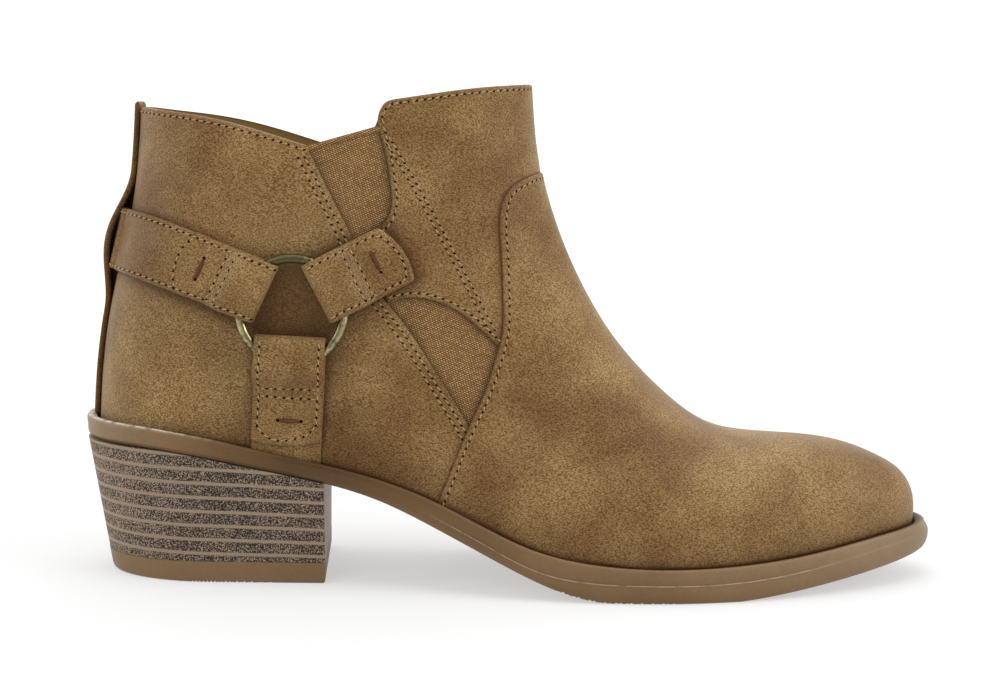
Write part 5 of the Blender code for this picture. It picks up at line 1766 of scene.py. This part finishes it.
def paper_finish(name):
    """White paper with a faint cloud, which glows more towards the back."""
    made = Finish(name, Roughness=0.9, Specular_IOR_Level=0.1, Emission_Strength=1.0)
    _, y, _ = made.axes()
    cloud = made.noise(3.0, 2.0, 0.5)
    made.feed("Base Color", made.ramp(cloud, (0.0, (0.4, 0.4, 0.4)), (1.0, (0.41, 0.41, 0.41))))
    made.feed("Emission Color", made.grey(made.spread(y, GLOW_FROM, GLOW_TO, GLOW_NEAR, GLOW_FAR)))
    return made.material


def sweep_grid():
    """Points of the paper sweep: a flat floor, a quarter of a circle and an upright back."""
    turn = np.linspace(0, math.pi / 2, 16)
    back = SWEEP_CURVE + SWEEP_RADIUS
    run = np.concatenate([[SWEEP_FRONT, 0.0], SWEEP_CURVE + SWEEP_RADIUS * np.sin(turn), [back]])
    rise = np.concatenate([[0.0, 0.0], SWEEP_RADIUS * (1 - np.cos(turn)), [SWEEP_HEIGHT]])
    across = SWEEP_HALF * np.array([-1, 0, 1])
    return np.stack(np.broadcast_arrays(across[None], run[:, None], rise[:, None]), -1)


def add_lamp(lamp):
    """Area light that faces the boot."""
    light = bpy.data.lights.new(lamp.name, "AREA")
    light.size = lamp.size
    light.energy = lamp.power
    made = bpy.data.objects.new(lamp.name, light)
    made.location = lamp.place
    aim = Vector(LIT_PLACE) - Vector(lamp.place)
    made.rotation_euler = aim.to_track_quat("-Z", "Y").to_euler()
    bpy.context.scene.collection.objects.link(made)


class BOOT_OT_stage(bpy.types.Operator):
    """White floor, soft studio light and the camera at the photo's angle"""

    bl_idname = "boot.stage"
    bl_label = "Stage"

    def execute(self, context):
        scene = context.scene
        scene.view_settings.view_transform = "Standard"
        add_grid("studio_sweep", sweep_grid(), paper_finish("studio_paper"))
        world = bpy.data.worlds.new("studio")
        world.use_nodes = True
        surroundings = world.node_tree.nodes["Background"].inputs
        surroundings["Color"].default_value = (1.0, 1.0, 1.0, 1.0)
        surroundings["Strength"].default_value = WORLD_STRENGTH
        scene.world = world
        for lamp in LAMPS:
            add_lamp(lamp)
        camera = bpy.data.cameras.new("photo_camera")
        camera.sensor_width = SENSOR
        camera.lens = SENSOR * FOCAL_PIXELS / IMAGE_PIXELS
        camera.clip_start = CAMERA_NEAR
        made = bpy.data.objects.new("photo_camera", camera)
        turn = Matrix.Rotation(math.pi / 2 - CAMERA_TILT, 4, "X") @ Matrix.Rotation(CAMERA_ROLL, 4, "Z")
        made.matrix_world = Matrix.Translation(CAMERA_PLACE) @ turn
        scene.collection.objects.link(made)
        scene.camera = made
        return {"FINISHED"}


class BOOT_PT_pieces(bpy.types.Panel):
    """Lists the steps that dress the boot and its sizes and colours"""

    bl_idname = "BOOT_PT_pieces"
    bl_label = "Block heel boot"
    bl_space_type = "VIEW_3D"
    bl_region_type = "UI"
    bl_category = "Boot"

    def draw(self, context):
        for step in STEPS:
            self.layout.operator(step.bl_idname)
        for name in BootLook.__annotations__:
            self.layout.prop(context.scene.boot_look, name)


STEPS = (BOOT_OT_leather, BOOT_OT_gores, BOOT_OT_harness, BOOT_OT_sole, BOOT_OT_heel, BOOT_OT_stitching,
         BOOT_OT_stage)


def register():
    """Adds the classes and the scene's property."""
    for kind in (BootLook, *STEPS, BOOT_PT_pieces):
        bpy.utils.register_class(kind)
    bpy.types.Scene.boot_look = bpy.props.PointerProperty(type=BootLook)


def unregister():
    """Takes the scene's property and the classes away."""
    del bpy.types.Scene.boot_look
    for kind in reversed((BootLook, *STEPS, BOOT_PT_pieces)):
        bpy.utils.unregister_class(kind)


def main():
    """Dresses the boot piece by piece."""
    register()
    bpy.ops.boot.leather()
    bpy.ops.boot.gores()
    bpy.ops.boot.harness()
    bpy.ops.boot.sole()
    bpy.ops.boot.heel()
    bpy.ops.boot.stitching()
    bpy.ops.boot.stage()


if __name__ == "__main__":
    main()
